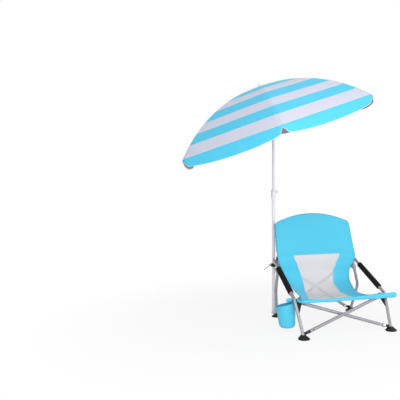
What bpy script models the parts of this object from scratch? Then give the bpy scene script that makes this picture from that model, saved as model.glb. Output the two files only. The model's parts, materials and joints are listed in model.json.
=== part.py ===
"""Low folding sling chair with a tilting sun umbrella clamped to its left rear upright.

Metres, +Z up. The chair faces -Y and its feet stand on Z = 0. It is built about its own middle
plane, X = 0, and moved at the end so that the bounding box of the whole is centred on X and Y.
"""

import math

import bmesh
import bpy
from mathutils import Matrix, Vector

# Fits and counts
GAP = 0.0004
OVERRUN = 0.004
ROUND_SIDES = 16
SMALL_SIDES = 10

# Side frame tubes
TUBE_R = 0.0095
BEND_R = 0.045
BEND_STEPS = 4
ARM_SIDE_GAP = 0.0012
ARM_TAIL = 0.052
TUBE_FLOOR_GAP = 0.012

# Foam grips
GRIP_R = 0.0150
GRIP_LENGTH = 0.285
GRIP_FROM_JOINT = 0.062
GRIP_ROUND = 0.004

# Feet
FOOT_R = 0.032
FOOT_RIM = 0.007
FOOT_CONE = 0.029
FOOT_CROWN_R = 0.0165
SOCKET_WALL = 0.0038
SOCKET_LENGTH = 0.047

# Cross bars and the lugs that carry them
BAR_R = 0.0095
BAR_LAYER = 0.0105
EYE_R = 0.0105
EYE_THICK = 0.0040
EYE_NECK = 0.030
LUG_THICK = 0.0050
LUG_HALF = 0.0100
PLATE_SHARE = 0.92
PIN_R = 0.0035
HEAD_R = 0.0066
HEAD_THICK = 0.0020
BAR_HEAD_R = 0.0092
FRONT_LUG_INSET = 0.032
FRONT_LUG_UP = 0.032
FRONT_LUG_BELOW_HUB = 0.015
REAR_LUG_INSET = 0.034
REAR_LUG_UP = 0.032
REAR_LUG_BELOW_JOINT = 0.017
REAR_PLANE_LOW_BACK = 0.002
REAR_PLANE_HIGH_BACK = 0.024
BRACKET_LENGTH = 0.044
ARM_BRACKET_LENGTH = 0.030

# Sling
CLOTH = 0.0026
SLING_ROWS = 26
SLING_COLUMNS = 16
FRAME_DEPTH = 0.535
BACK_HEIGHT = 0.612
SEAT_HALF = 0.280

# Cup holder
CUP_OUT = 0.0425
CUP_BELOW_HUB = 0.024
CUP_DEPTH_SHARE = 0.83
CUP_TOP_R = 0.0550
CUP_LOW_R = 0.0425
CUP_WALL = 0.0022
LOOP_WALL = 0.0022
LOOP_WIDTH = 0.016
STRAP_THICK = 0.0022
STRAP_GAP = 0.002

# Umbrella pole
POLE_INSET = 0.000
POLE_BEHIND = 0.116
LOWER_POLE_R = 0.0110
POLE_WALL = 0.0014
POLE_FIT = 0.0004
UPPER_POLE_R = LOWER_POLE_R - POLE_WALL - POLE_FIT
LOWER_POLE_TOP = 0.800
CAP_HEIGHT = 0.016
CAP_WALL = 0.0030
UPPER_POLE_BOTTOM = 0.360
COLLAR_R = 0.0165
COLLAR_HEIGHT = 0.060
KNOB_R = 0.0085
KNOB_LENGTH = 0.014
KNOB_STEM_R = 0.0030

# Tilt knuckle and stub pole
TILT_Z = 1.250
TILT_DEG = 20.1
KNUCKLE_R = 0.0135
KNUCKLE_DROP = 0.034
EAR_THICK = 0.0040
EAR_R = 0.0125
TONGUE_THICK = 0.0080
STUB_R = 0.0092
STUB_LENGTH = 0.294
STUB_SOCKET = 0.018
CROWN_BELOW_TIP = 0.036
CROWN_R = 0.0160
CROWN_THICK = 0.012
FINIAL_R = 0.011

# Canopy, ribs, runner and stretchers
RIBS = 6
RIB_PHASE_DEG = -14.7
RIM_R = 0.692
RIM_DROP = 0.291
RIB_R = 0.0028
RIB_ROOT_R = 0.0215
RIB_TIP_SHORT = 0.003
RIB_CLEARANCE = 0.0016
CANOPY_CLOTH = 0.0018
CANOPY_HOLE_R = 0.0135
CANOPY_LIFT = 0.0016
CANOPY_ROWS = 8
GORE_COLUMNS = 8
VALANCE = 0.066
VALANCE_LEAST = 0.006
VALANCE_POWER = 0.25
RUNNER_R = 0.0175
RUNNER_LENGTH = 0.026
RUNNER_FLANGE = 0.008
RUNNER_OPEN_DROP = 0.064
STRETCHER_R = 0.0023
STRETCHER_REACH = 0.092
STRETCHER_SIDE = 0.0058
STRETCHER_ROOT_R = 0.0235

# Pole clamp
CLAMP_ABOVE_JOINT = 0.030
CLAMP_SLANT = 0.055
CLAMP_HEIGHT = 0.022
CLAMP_WALL = 0.0055
WEB_THICK = 0.009
LEVER_R = 0.0022
LEVER_LENGTH = 0.052
LEVER_HUB_R = 0.0060
LEVER_HUB = 0.012
LEVER_LEAN_SHARES = (-1.0, -0.1, -0.65)

# The places of the right side frame, as shares of SEAT_HALF, FRAME_DEPTH and BACK_HEIGHT
FRONT_FOOT_SHARES = (0.979, -0.492, 0.0)
HUB_SHARES = (1.043, -0.279, 0.327)
JOINT_SHARES = (0.936, 0.437, 0.580)
KNEE_SHARES = (1.036, 0.394, 0.310)
REAR_FOOT_SHARES = (0.943, 0.508, 0.0)
TOP_SHARES = (0.908, 0.598, 0.987)

# The sling's rows from the top of the back to the front edge of the seat. Each row gives the
# edge's depth, height and half width, then the middle's depth and height, as shares of
# FRAME_DEPTH, BACK_HEIGHT and SEAT_HALF.
SLING_ROW_SHARES = (
    (0.572, 0.994, 0.943, 0.610, 1.092),
    (0.485, 0.790, 0.960, 0.515, 0.800),
    (0.414, 0.640, 0.970, 0.440, 0.640),
    (0.408, 0.560, 0.920, 0.434, 0.540),
    (0.418, 0.480, 0.835, 0.425, 0.450),
    (0.345, 0.390, 0.765, 0.375, 0.350),
    (0.205, 0.325, 0.720, 0.260, 0.272),
    (0.040, 0.291, 0.700, 0.090, 0.252),
    (-0.110, 0.285, 0.800, -0.080, 0.255),
    (-0.250, 0.318, 0.910, -0.230, 0.290),
    (-0.352, 0.352, 0.985, -0.345, 0.330),
)

BLUE = (0.110, 0.640, 0.870, 1.0)
WHITE_CLOTH = (0.800, 0.790, 0.860, 1.0)
STEEL = (0.560, 0.560, 0.590, 1.0)
BLACK = (0.020, 0.020, 0.022, 1.0)
POLE_WHITE = (0.820, 0.820, 0.840, 1.0)

X_AXIS = Vector((1.0, 0.0, 0.0))
Y_AXIS = Vector((0.0, 1.0, 0.0))
Z_AXIS = Vector((0.0, 0.0, 1.0))


def clear_scene():
    for obj in list(bpy.data.objects):
        bpy.data.objects.remove(obj)


def new_collection(name):
    collection = bpy.data.collections.new(name)
    bpy.context.scene.collection.children.link(collection)
    return collection


def make_material(name, colour, roughness, metallic=0.0):
    material = bpy.data.materials.new(name)
    material.use_nodes = True
    shader = material.node_tree.nodes["Principled BSDF"]
    shader.inputs["Base Color"].default_value = colour
    shader.inputs["Roughness"].default_value = roughness
    shader.inputs["Metallic"].default_value = metallic
    material.diffuse_color = colour
    return material


clear_scene()
PARTS = new_collection("umbrella_chair")
CUTTERS = new_collection("cutters")
MAT = {
    "steel": make_material("steel_tube", STEEL, 0.32, 0.9),
    "black": make_material("black_plastic", BLACK, 0.45),
    "foam": make_material("foam", BLACK, 0.9),
    "cloth": make_material("blue_cloth", BLUE, 0.8),
    "stripes": make_material("striped_cloth", WHITE_CLOTH, 0.8),
    "pole": make_material("white_pole", POLE_WHITE, 0.35),
    "rivet": make_material("rivet", STEEL, 0.25, 1.0),
}


def finish(obj, material, collection=None):
    """Puts an object in its collection with its material."""
    (collection or PARTS).objects.link(obj)
    if material is not None:
        obj.data.materials.append(MAT[material])
    return obj


def mesh_object(name, bm, material, collection=None, smooth=True):
    mesh = bpy.data.meshes.new(name)
    bmesh.ops.recalc_face_normals(bm, faces=bm.faces)
    bm.to_mesh(mesh)
    bm.free()
    if smooth:
        mesh.shade_smooth()
        mesh.set_sharp_from_angle(angle=math.radians(35))
    return finish(bpy.data.objects.new(name, mesh), material, collection)


def hide(obj):
    obj.hide_render = True
    obj.display_type = "WIRE"
    return obj


def frame_matrix(origin, z_axis, x_hint):
    """A matrix whose Z runs along z_axis and whose X lies near x_hint."""
    z = z_axis.normalized()
    y = z.cross(x_hint).normalized()
    x = y.cross(z).normalized()
    return Matrix.Translation(origin) @ Matrix((x, y, z)).transposed().to_4x4()


def side_hint(direction):
    return X_AXIS if abs(direction.normalized().dot(X_AXIS)) < math.cos(math.radians(30)) else Y_AXIS


def add_cylinder(bm, start, end, radius, sides=ROUND_SIDES, end_radius=None):
    """A cylinder or cone from start to end."""
    axis = end - start
    matrix = frame_matrix((start + end) / 2, axis, side_hint(axis))
    bmesh.ops.create_cone(
        bm,
        cap_ends=True,
        segments=sides,
        radius1=radius,
        radius2=radius if end_radius is None else end_radius,
        depth=axis.length,
        matrix=matrix,
    )


def add_box(bm, matrix, size):
    bmesh.ops.create_cube(bm, size=1.0, matrix=matrix @ Matrix.Diagonal((*size, 1.0)))


def cylinder(name, start, end, radius, material=None, collection=None, sides=ROUND_SIDES):
    bm = bmesh.new()
    add_cylinder(bm, start, end, radius, sides)
    return mesh_object(name, bm, material, collection)


def box(name, matrix, size, material=None, collection=None):
    bm = bmesh.new()
    add_box(bm, matrix, size)
    return mesh_object(name, bm, material, collection, smooth=False)


def boolean(obj, helper, operation):
    modifier = obj.modifiers.new(operation.lower() + "_" + helper.name, "BOOLEAN")
    modifier.operation = operation
    modifier.solver = "EXACT"
    modifier.object = hide(helper)


def turned(name, profile, origin, axis, material, sides=ROUND_SIDES, collection=None):
    """A turned piece: profile holds (radius, height) from the bottom up, revolved about axis."""
    bm = bmesh.new()
    verts = [bm.verts.new((radius, 0.0, height)) for radius, height in reversed(profile)]
    for low, high in zip(verts, verts[1:]):
        bm.edges.new((low, high))
    if profile[0][0] > 0.0 and profile[-1][0] > 0.0:
        bm.edges.new((verts[-1], verts[0]))
    mesh = bpy.data.meshes.new(name)
    bm.to_mesh(mesh)
    bm.free()
    obj = finish(bpy.data.objects.new(name, mesh), material, collection)
    obj.matrix_world = frame_matrix(origin, axis, side_hint(axis))
    screw = obj.modifiers.new("turn", "SCREW")
    screw.angle = math.tau
    screw.steps = sides
    screw.render_steps = sides
    screw.use_merge_vertices = True
    screw.merge_threshold = 0.00005
    screw.use_smooth_shade = True
    return obj


def rounded_path(points, bend_radius=BEND_R, steps=BEND_STEPS):
    """The points of a bent tube's middle line, with each corner drawn as an arc."""
    path = [points[0]]
    for before, corner, after in zip(points, points[1:], points[2:]):
        incoming = (corner - before).normalized()
        outgoing = (after - corner).normalized()
        turn = incoming.angle(outgoing)
        reach = bend_radius * math.tan(turn / 2)
        start = corner - incoming * reach
        end = corner + outgoing * reach
        for step in range(steps + 1):
            share = step / steps
            first = start.lerp(corner, share)
            second = corner.lerp(end, share)
            path.append(first.lerp(second, share))
    path.append(points[-1])
    return path


def tube(name, path, radius, material, resolution=3, collection=None):
    """A round tube along a path, as a curve with a bevel and filled caps."""
    curve = bpy.data.curves.new(name, "CURVE")
    curve.dimensions = "3D"
    curve.bevel_depth = radius
    curve.bevel_resolution = resolution
    curve.use_fill_caps = True
    spline = curve.splines.new("POLY")
    spline.points.add(len(path) - 1)
    for index, point in enumerate(path):
        spline.points[index].co = (*point, 1.0)
    spline.use_smooth = True
    return finish(bpy.data.objects.new(name, curve), material, collection)


def as_mesh(obj):
    """Turns a curve object into a mesh object with welded caps, so that it can be cut."""
    graph = bpy.context.evaluated_depsgraph_get()
    mesh = bpy.data.meshes.new_from_object(obj.evaluated_get(graph))
    bm = bmesh.new()
    bm.from_mesh(mesh)
    bmesh.ops.remove_doubles(bm, verts=bm.verts, dist=0.00001)
    bm.to_mesh(mesh)
    bm.free()
    name = obj.name
    collection = obj.users_collection[0]
    matrix = obj.matrix_world.copy()
    bpy.data.objects.remove(obj)
    result = bpy.data.objects.new(name, mesh)
    result.matrix_world = matrix
    collection.objects.link(result)
    return result


def mirrored(point, side):
    """side is -1 for the left half and +1 for the right half."""
    return Vector((point.x * side, point.y, point.z))


SIDES = (("left", -1), ("right", 1))

def frame_place(shares):
    return Vector((shares[0] * SEAT_HALF, shares[1] * FRAME_DEPTH, shares[2] * BACK_HEIGHT))


# Named places on the right half
front_foot = frame_place(FRONT_FOOT_SHARES)
hub = frame_place(HUB_SHARES)
upright_joint = frame_place(JOINT_SHARES)
arm_joint = upright_joint + X_AXIS * (2 * TUBE_R + ARM_SIDE_GAP)
knee = frame_place(KNEE_SHARES)
rear_foot = frame_place(REAR_FOOT_SHARES)
back_top = frame_place(TOP_SHARES)
arm_direction = (arm_joint - hub).normalized()
leg_direction = (hub - front_foot).normalized()
shin_direction = (knee - rear_foot).normalized()

# The cross bars' planes: up the plane, and its normal towards the front
front_up = Vector((0.0, hub.y - front_foot.y, hub.z)).normalized()
front_normal = Vector((0.0, -front_up.z, front_up.y))


def on_front_plane(x, z):
    return Vector((x, front_foot.y + front_up.y / front_up.z * z, z))


front_low = on_front_plane(front_foot.x - FRONT_LUG_INSET, FRONT_LUG_UP)
front_high = on_front_plane(hub.x - FRONT_LUG_INSET, hub.z - FRONT_LUG_BELOW_HUB)
rear_low = rear_foot + Vector((-REAR_LUG_INSET, REAR_PLANE_LOW_BACK, REAR_LUG_UP))
rear_high = upright_joint + Vector((-REAR_LUG_INSET, REAR_PLANE_HIGH_BACK, -REAR_LUG_BELOW_JOINT))
rear_up = Vector((0.0, rear_high.y - rear_low.y, rear_high.z - rear_low.z)).normalized()
rear_normal = Vector((0.0, -rear_up.z, rear_up.y))


def crossing(low, high):
    """Where two mirrored bars from low to high cross, in the middle plane."""
    share = low.x / (low.x + high.x)
    point = mirrored(low, -1).lerp(high, share)
    return Vector((0.0, point.y, point.z))


def leg_and_arm(name, side):
    bottom = front_foot + leg_direction * (TUBE_FLOOR_GAP / leg_direction.z)
    tail = arm_joint + arm_direction * ARM_TAIL
    points = [mirrored(p, side) for p in (bottom, hub, tail)]
    return as_mesh(tube(name, rounded_path(points), TUBE_R, "steel"))


def upright(name, side):
    bottom = rear_foot + shin_direction * (TUBE_FLOOR_GAP / shin_direction.z)
    points = [mirrored(p, side) for p in (bottom, knee, upright_joint, back_top)]
    return as_mesh(tube(name, rounded_path(points, BEND_R * 2), TUBE_R, "steel"))


def arm_rivet(name, side, arm, post):
    """The rivet through arm and upright, with its clearance holes cut in both."""
    outer = mirrored(arm_joint + X_AXIS * (TUBE_R + GAP + HEAD_THICK), side)
    inner = mirrored(upright_joint - X_AXIS * (TUBE_R + GAP + HEAD_THICK), side)
    inward = (inner - outer).normalized()
    for piece in (arm, post):
        cutter = cylinder(
            name + "_hole_" + piece.name,
            outer - inward * OVERRUN,
            inner + inward * OVERRUN,
            PIN_R + GAP,
            collection=CUTTERS,
            sides=SMALL_SIDES,
        )
        boolean(piece, cutter, "DIFFERENCE")
    length = (inner - outer).length
    profile = (
        (0.0, 0.0),
        (HEAD_R, 0.0),
        (HEAD_R, HEAD_THICK),
        (PIN_R, HEAD_THICK),
        (PIN_R, length - HEAD_THICK),
        (HEAD_R, length - HEAD_THICK),
        (HEAD_R, length),
        (0.0, length),
    )
    return turned(name, profile, outer, inward, "rivet", SMALL_SIDES)


def grip(name, side):
    start = arm_joint - arm_direction * (GRIP_FROM_JOINT + GRIP_LENGTH)
    origin = mirrored(start, side)
    axis = mirrored(arm_direction, side)
    bore = TUBE_R + GAP
    profile = (
        (bore, 0.0),
        (GRIP_R - GRIP_ROUND, 0.0),
        (GRIP_R, GRIP_ROUND),
        (GRIP_R, GRIP_LENGTH - GRIP_ROUND),
        (GRIP_R - GRIP_ROUND, GRIP_LENGTH),
        (bore, GRIP_LENGTH),
    )
    return turned(name, profile, origin, axis, "foam")


def lug(name, pivot, normal, layer, toward, with_pin):
    """A lug plate beside a bar's eye. layer is the bar's side of the plane, +1 front, -1 rear."""
    away = normal * -layer
    bar_middle = pivot + normal * (layer * BAR_LAYER)
    face = bar_middle + away * (EYE_THICK / 2 + GAP)
    back = face + away * LUG_THICK
    bm = bmesh.new()
    add_cylinder(bm, face, back, LUG_HALF)
    obj = mesh_object(name, bm, None, CUTTERS)
    middle = (face + back) / 2
    reach = toward - middle
    reach -= normal * reach.dot(normal)
    matrix = frame_matrix(middle + reach / 2, normal, reach)
    size = (reach.length, 2 * LUG_HALF * PLATE_SHARE, LUG_THICK * PLATE_SHARE)
    plate = box(name + "_plate", matrix, size, None, CUTTERS)
    boolean(obj, plate, "UNION")
    if with_pin:
        end = bar_middle - away * (EYE_THICK / 2 + GAP + HEAD_THICK)
        neck = bar_middle - away * (EYE_THICK / 2 + GAP)
        pin_end = (neck + end) / 2
        pin = cylinder(name + "_pin", middle, pin_end, PIN_R, None, CUTTERS, SMALL_SIDES)
        head = cylinder(name + "_head", neck, end, BAR_HEAD_R, None, CUTTERS)
        boolean(obj, pin, "UNION")
        boolean(obj, head, "UNION")
    return obj


def foot(name, place, direction, pivot, normal, layer, with_pin, side):
    """A plastic foot: a cone on a rim, a socket for the tube and a lug for a cross bar."""
    base = mirrored(place, side)
    rise = mirrored(direction, side)
    profile = (
        (0.0, 0.0),
        (FOOT_R, 0.0),
        (FOOT_R, FOOT_RIM),
        (FOOT_CROWN_R + SOCKET_WALL / 2, FOOT_RIM + FOOT_CONE - SOCKET_WALL / 2),
        (FOOT_CROWN_R, FOOT_RIM + FOOT_CONE),
        (0.0, FOOT_RIM + FOOT_CONE),
    )
    obj = turned(name, profile, base, Z_AXIS, "black")
    sleeve_start = base + rise * (FOOT_RIM / rise.z)
    sleeve = cylinder(
        name + "_sleeve",
        sleeve_start,
        base + rise * SOCKET_LENGTH,
        TUBE_R + GAP + SOCKET_WALL,
        None,
        CUTTERS,
    )
    boolean(obj, sleeve, "UNION")
    toward = base + rise * ((pivot.z - base.z) / rise.z)
    boolean(obj, lug(name + "_lug", pivot, normal, layer, toward, with_pin), "UNION")
    bottom = base + rise * ((TUBE_FLOOR_GAP - GAP) / rise.z)
    bore = cylinder(name + "_bore", bottom, base + rise * (SOCKET_LENGTH * 2), TUBE_R + GAP, None, CUTTERS)
    boolean(obj, bore, "DIFFERENCE")
    return obj


def bracket(name, middle, direction, length, pivot, normal, layer):
    """A sleeve round a tube with a lug for the upper end of a cross bar, braced from below."""
    half = direction * (length / 2)
    obj = cylinder(name, middle - half, middle + half, TUBE_R + GAP + SOCKET_WALL, "black")
    boolean(obj, lug(name + "_lug", pivot, normal, layer, middle, False), "UNION")
    plate = pivot + normal * (layer * (BAR_LAYER - EYE_THICK / 2 - GAP - LUG_THICK / 2))
    root = middle - half * PLATE_SHARE
    reach = root - plate
    reach -= normal * reach.dot(normal)
    matrix = frame_matrix(plate + reach / 2, normal, reach)
    brace = box(name + "_brace", matrix, (reach.length, LUG_HALF, LUG_THICK * PLATE_SHARE), None, CUTTERS)
    boolean(obj, brace, "UNION")
    stand_off = normal * (pivot - middle).dot(normal)
    if stand_off.length > TUBE_R + SOCKET_WALL:
        stand_off += stand_off.normalized() * (BAR_LAYER - EYE_THICK / 2 - GAP - LUG_THICK / 2)
        matrix = frame_matrix(middle + stand_off / 2, stand_off, X_AXIS)
        bridge = box(name + "_bridge", matrix, (2 * TUBE_R, 2 * LUG_HALF, stand_off.length), None, CUTTERS)
        boolean(obj, bridge, "UNION")
    bore = cylinder(name + "_bore", middle - half * 2, middle + half * 2, TUBE_R + GAP, None, CUTTERS)
    boolean(obj, bore, "DIFFERENCE")
    return obj


def cross_bar(name, low, high, normal, layer, low_hole, high_head, low_head=False):
    """A tube with flattened ends. low_hole cuts the eye that turns on a foot's pin."""
    shift = normal * (layer * BAR_LAYER)
    start = low + shift
    end = high + shift
    along = (end - start).normalized()
    across = normal * (EYE_THICK / 2)
    obj = cylinder(name, start + along * EYE_NECK, end - along * EYE_NECK, BAR_R, "steel", sides=12)
    for label, place, inward in (("low", start, along), ("high", end, -along)):
        eye = cylinder(name + "_eye_" + label, place - across, place + across, EYE_R, None, CUTTERS)
        boolean(obj, eye, "UNION")
        strip_end = place + inward * (EYE_NECK + BAR_R)
        matrix = frame_matrix((place + strip_end) / 2, normal, inward)
        length = (strip_end - place).length
        strip = box(name + "_strip_" + label, matrix, (length, 2 * BAR_R, EYE_THICK), None, CUTTERS)
        boolean(obj, strip, "UNION")
    for label, place, wanted in (("low", start, low_head), ("high", end, high_head)):
        if wanted:
            outward = normal * layer
            inner = place + outward * (EYE_THICK / 4)
            outer = place + outward * (EYE_THICK / 2 + HEAD_THICK)
            head = cylinder(name + "_head_" + label, inner, outer, BAR_HEAD_R, None, CUTTERS)
            boolean(obj, head, "UNION")
    if low_hole:
        cut = normal * (EYE_THICK + OVERRUN)
        hole = cylinder(name + "_hole", start - cut, start + cut, PIN_R + GAP, None, CUTTERS, SMALL_SIDES)
        boolean(obj, hole, "DIFFERENCE")
    return obj


def cross_rivet(name, place, normal, bars):
    """The rivet where two bars cross, through a clearance hole in each."""
    reach = BAR_LAYER + BAR_R + GAP
    front = place + normal * (reach + HEAD_THICK)
    length = 2 * (reach + HEAD_THICK)
    for bar in bars:
        cut = normal * (reach + OVERRUN)
        hole = cylinder(
            name + "_hole_" + bar.name, place - cut, place + cut, PIN_R + GAP, None, CUTTERS, SMALL_SIDES
        )
        boolean(bar, hole, "DIFFERENCE")
    profile = (
        (0.0, 0.0),
        (HEAD_R, 0.0),
        (HEAD_R, HEAD_THICK),
        (PIN_R, HEAD_THICK),
        (PIN_R, length - HEAD_THICK),
        (HEAD_R, length - HEAD_THICK),
        (HEAD_R, length),
        (0.0, length),
    )
    return turned(name, profile, front, -normal, "rivet", SMALL_SIDES)


def smooth_row(share):
    """The sling's row at a share of the way from the top to the front edge."""
    place = share * (len(SLING_ROW_SHARES) - 1)
    index = min(int(place), len(SLING_ROW_SHARES) - 2)
    part = place - index
    rows = SLING_ROW_SHARES
    before = rows[max(index - 1, 0)]
    first = rows[index]
    second = rows[index + 1]
    after = rows[min(index + 2, len(rows) - 1)]
    result = []
    for p0, p1, p2, p3 in zip(before, first, second, after):
        cubic = (
            2 * p1
            + (p2 - p0) * part
            + (2 * p0 - 5 * p1 + 4 * p2 - p3) * part**2
            + (3 * p1 - p0 - 3 * p2 + p3) * part**3
        )
        result.append(cubic / 2)
    return result


def sling_point(share, across):
    """A point of the sling: across runs from -1 at the left edge to +1 at the right edge."""
    edge_y, edge_z, half, middle_y, middle_z = smooth_row(share)
    bow = across * across
    y = (edge_y * bow + middle_y * (1 - bow)) * FRAME_DEPTH
    z = (edge_z * bow + middle_z * (1 - bow)) * BACK_HEIGHT
    return Vector((across * half * SEAT_HALF, y, z))


def grid_mesh(name, rows, columns, point, material, collection=None, wrap=False):
    """An open surface of rows by columns whose points come from a function of two shares."""
    bm = bmesh.new()
    count = columns if wrap else columns + 1
    verts = [[bm.verts.new(point(r / rows, c / columns)) for c in range(count)] for r in range(rows + 1)]
    for r in range(rows):
        for c in range(columns):
            n = (c + 1) % count
            bm.faces.new((verts[r][c], verts[r + 1][c], verts[r + 1][n], verts[r][n]))
    mesh = bpy.data.meshes.new(name)
    bm.to_mesh(mesh)
    bm.free()
    mesh.shade_smooth()
    return finish(bpy.data.objects.new(name, mesh), material, collection)


def solidify(obj, thickness, offset):
    modifier = obj.modifiers.new("thickness", "SOLIDIFY")
    modifier.thickness = thickness
    modifier.offset = offset
    modifier.use_even_offset = False
    return obj


def sling():
    obj = grid_mesh(
        "sling", SLING_ROWS, SLING_COLUMNS, lambda r, c: sling_point(r, 2 * c - 1), "cloth"
    )
    return solidify(obj, CLOTH, 0.0)


strap_from_joint = GRIP_FROM_JOINT + GRIP_LENGTH + STRAP_GAP + LOOP_WIDTH / 2
strap_middle = mirrored(arm_joint - arm_direction * strap_from_joint, -1)
cup_top = Vector((strap_middle.x - CUP_OUT, strap_middle.y, hub.z - CUP_BELOW_HUB))
cup_depth = cup_top.z * CUP_DEPTH_SHARE


def cup_holder():
    profile = (
        (0.0, 0.0),
        (CUP_LOW_R, 0.0),
        (CUP_TOP_R, cup_depth),
        (CUP_TOP_R - CUP_WALL, cup_depth),
        (CUP_LOW_R - CUP_WALL, CUP_WALL),
        (0.0, CUP_WALL),
    )
    return turned("cup_holder", profile, cup_top - Z_AXIS * cup_depth, Z_AXIS, "cloth", 20)


def cup_strap():
    """A cloth loop round the arm, with a tail down to the cup's rim."""
    middle = strap_middle
    axis = mirrored(arm_direction, -1)
    half = axis * (LOOP_WIDTH / 2)
    bore = TUBE_R + GAP
    obj = cylinder("cup_strap", middle - half, middle + half, bore + LOOP_WALL, "cloth")
    rim = cup_top + X_AXIS * (CUP_TOP_R - CUP_WALL / 2)
    low = rim + Z_AXIS * GAP
    high = Vector((rim.x, rim.y, middle.z))
    matrix = frame_matrix((low + high) / 2, Z_AXIS, X_AXIS)
    tail = box("cup_strap_tail", matrix, (STRAP_THICK, LOOP_WIDTH, (high - low).length), None, CUTTERS)
    boolean(obj, tail, "UNION")
    hole = cylinder("cup_strap_hole", middle - half * 2, middle + half * 2, bore, None, CUTTERS)
    boolean(obj, hole, "DIFFERENCE")
    return obj


def pole_place(z):
    return Vector((POLE_INSET - upright_joint.x, upright_joint.y + POLE_BEHIND, z))


def lower_pole():
    profile = (
        (LOWER_POLE_R - POLE_WALL, 0.0),
        (LOWER_POLE_R, 0.0),
        (LOWER_POLE_R, LOWER_POLE_TOP - CAP_WALL),
        (LOWER_POLE_R - POLE_WALL, LOWER_POLE_TOP - CAP_WALL),
    )
    return turned("lower_pole", profile, pole_place(CAP_WALL), Z_AXIS, "pole")


def pole_cap():
    outer = LOWER_POLE_R + GAP + CAP_WALL
    profile = (
        (0.0, 0.0),
        (outer, 0.0),
        (outer, CAP_HEIGHT),
        (LOWER_POLE_R + GAP, CAP_HEIGHT),
        (LOWER_POLE_R + GAP, CAP_WALL - GAP),
        (0.0, CAP_WALL - GAP),
    )
    return turned("pole_cap", profile, pole_place(0.0), Z_AXIS, "black")


def pole_collar():
    """A moulded collar on top of the lower pole, with a boss for the thumb knob."""
    start = LOWER_POLE_TOP - COLLAR_HEIGHT / 2
    lip = LOWER_POLE_TOP + GAP
    profile = (
        (LOWER_POLE_R + GAP, 0.0),
        (COLLAR_R - CAP_WALL, 0.0),
        (COLLAR_R, COLLAR_HEIGHT / 4),
        (COLLAR_R, COLLAR_HEIGHT * 3 / 4),
        (COLLAR_R - CAP_WALL, COLLAR_HEIGHT),
        (UPPER_POLE_R + POLE_FIT, COLLAR_HEIGHT),
        (UPPER_POLE_R + POLE_FIT, lip - start),
        (LOWER_POLE_R + GAP, lip - start),
    )
    obj = turned("pole_collar", profile, pole_place(start), Z_AXIS, "pole")
    height = LOWER_POLE_TOP + COLLAR_HEIGHT / 4
    inner = pole_place(height) + X_AXIS * (UPPER_POLE_R + POLE_FIT)
    hole = cylinder(
        "collar_hole",
        inner - X_AXIS * (POLE_FIT / 2),
        inner + X_AXIS * (COLLAR_R + OVERRUN),
        KNOB_STEM_R + GAP,
        None,
        CUTTERS,
        SMALL_SIDES,
    )
    boolean(obj, hole, "DIFFERENCE")
    return obj


def collar_knob():
    height = LOWER_POLE_TOP + COLLAR_HEIGHT / 4
    start = pole_place(height) + X_AXIS * (UPPER_POLE_R + 2 * POLE_FIT)
    stem = COLLAR_R - UPPER_POLE_R - POLE_FIT
    profile = (
        (0.0, 0.0),
        (KNOB_STEM_R, 0.0),
        (KNOB_STEM_R, stem + GAP),
        (KNOB_R, stem + GAP),
        (KNOB_R, stem + GAP + KNOB_LENGTH),
        (0.0, stem + GAP + KNOB_LENGTH),
    )
    obj = turned("collar_knob", profile, start, X_AXIS, "black", SMALL_SIDES)
    wing_start = start + X_AXIS * (stem + GAP + KNOB_LENGTH / 2)
    matrix = frame_matrix(wing_start + X_AXIS * (KNOB_LENGTH / 4), X_AXIS, Z_AXIS)
    wing = box("collar_knob_wing", matrix, (KNOB_R * 3, KNOB_STEM_R, KNOB_LENGTH / 2), None, CUTTERS)
    boolean(obj, wing, "UNION")
    return obj


tilt_point = pole_place(TILT_Z)
head_up = Vector((-math.sin(math.radians(TILT_DEG)), 0.0, math.cos(math.radians(TILT_DEG))))
head_side = Y_AXIS.cross(head_up)


def upper_pole():
    top = TILT_Z - KNUCKLE_DROP + GAP
    return cylinder("upper_pole", pole_place(UPPER_POLE_BOTTOM), pole_place(top), UPPER_POLE_R, "pole")


def knuckle_lower():
    """A socket on the upper pole with two ears round the tilt pin."""
    low = pole_place(TILT_Z - KNUCKLE_DROP - KNUCKLE_R)
    shoulder = pole_place(TILT_Z - KNUCKLE_R - EAR_THICK)
    obj = cylinder("knuckle_lower", low, shoulder, KNUCKLE_R, "pole")
    for side in (-1, 1):
        near = Y_AXIS * (side * (TONGUE_THICK / 2 + GAP))
        far = Y_AXIS * (side * (TONGUE_THICK / 2 + GAP + EAR_THICK))
        ear = cylinder("ear_round_%d" % side, tilt_point + near, tilt_point + far, EAR_R, None, CUTTERS)
        boolean(obj, ear, "UNION")
        height = tilt_point.z - shoulder.z + EAR_THICK / 2
        centre = tilt_point + (near + far) / 2 - Z_AXIS * (height / 2)
        matrix = frame_matrix(centre, Z_AXIS, X_AXIS)
        plate = box("ear_plate_%d" % side, matrix, (2 * KNUCKLE_R, EAR_THICK, height), None, CUTTERS)
        boolean(obj, plate, "UNION")
    socket = cylinder(
        "knuckle_socket",
        low - Z_AXIS * OVERRUN,
        pole_place(TILT_Z - KNUCKLE_DROP + 2 * GAP),
        UPPER_POLE_R + GAP,
        None,
        CUTTERS,
    )
    boolean(obj, socket, "DIFFERENCE")
    reach = Y_AXIS * (TONGUE_THICK + EAR_THICK + OVERRUN)
    hole = cylinder("ear_hole", tilt_point - reach, tilt_point + reach, PIN_R + GAP, None, CUTTERS, SMALL_SIDES)
    boolean(obj, hole, "DIFFERENCE")
    return obj


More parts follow.
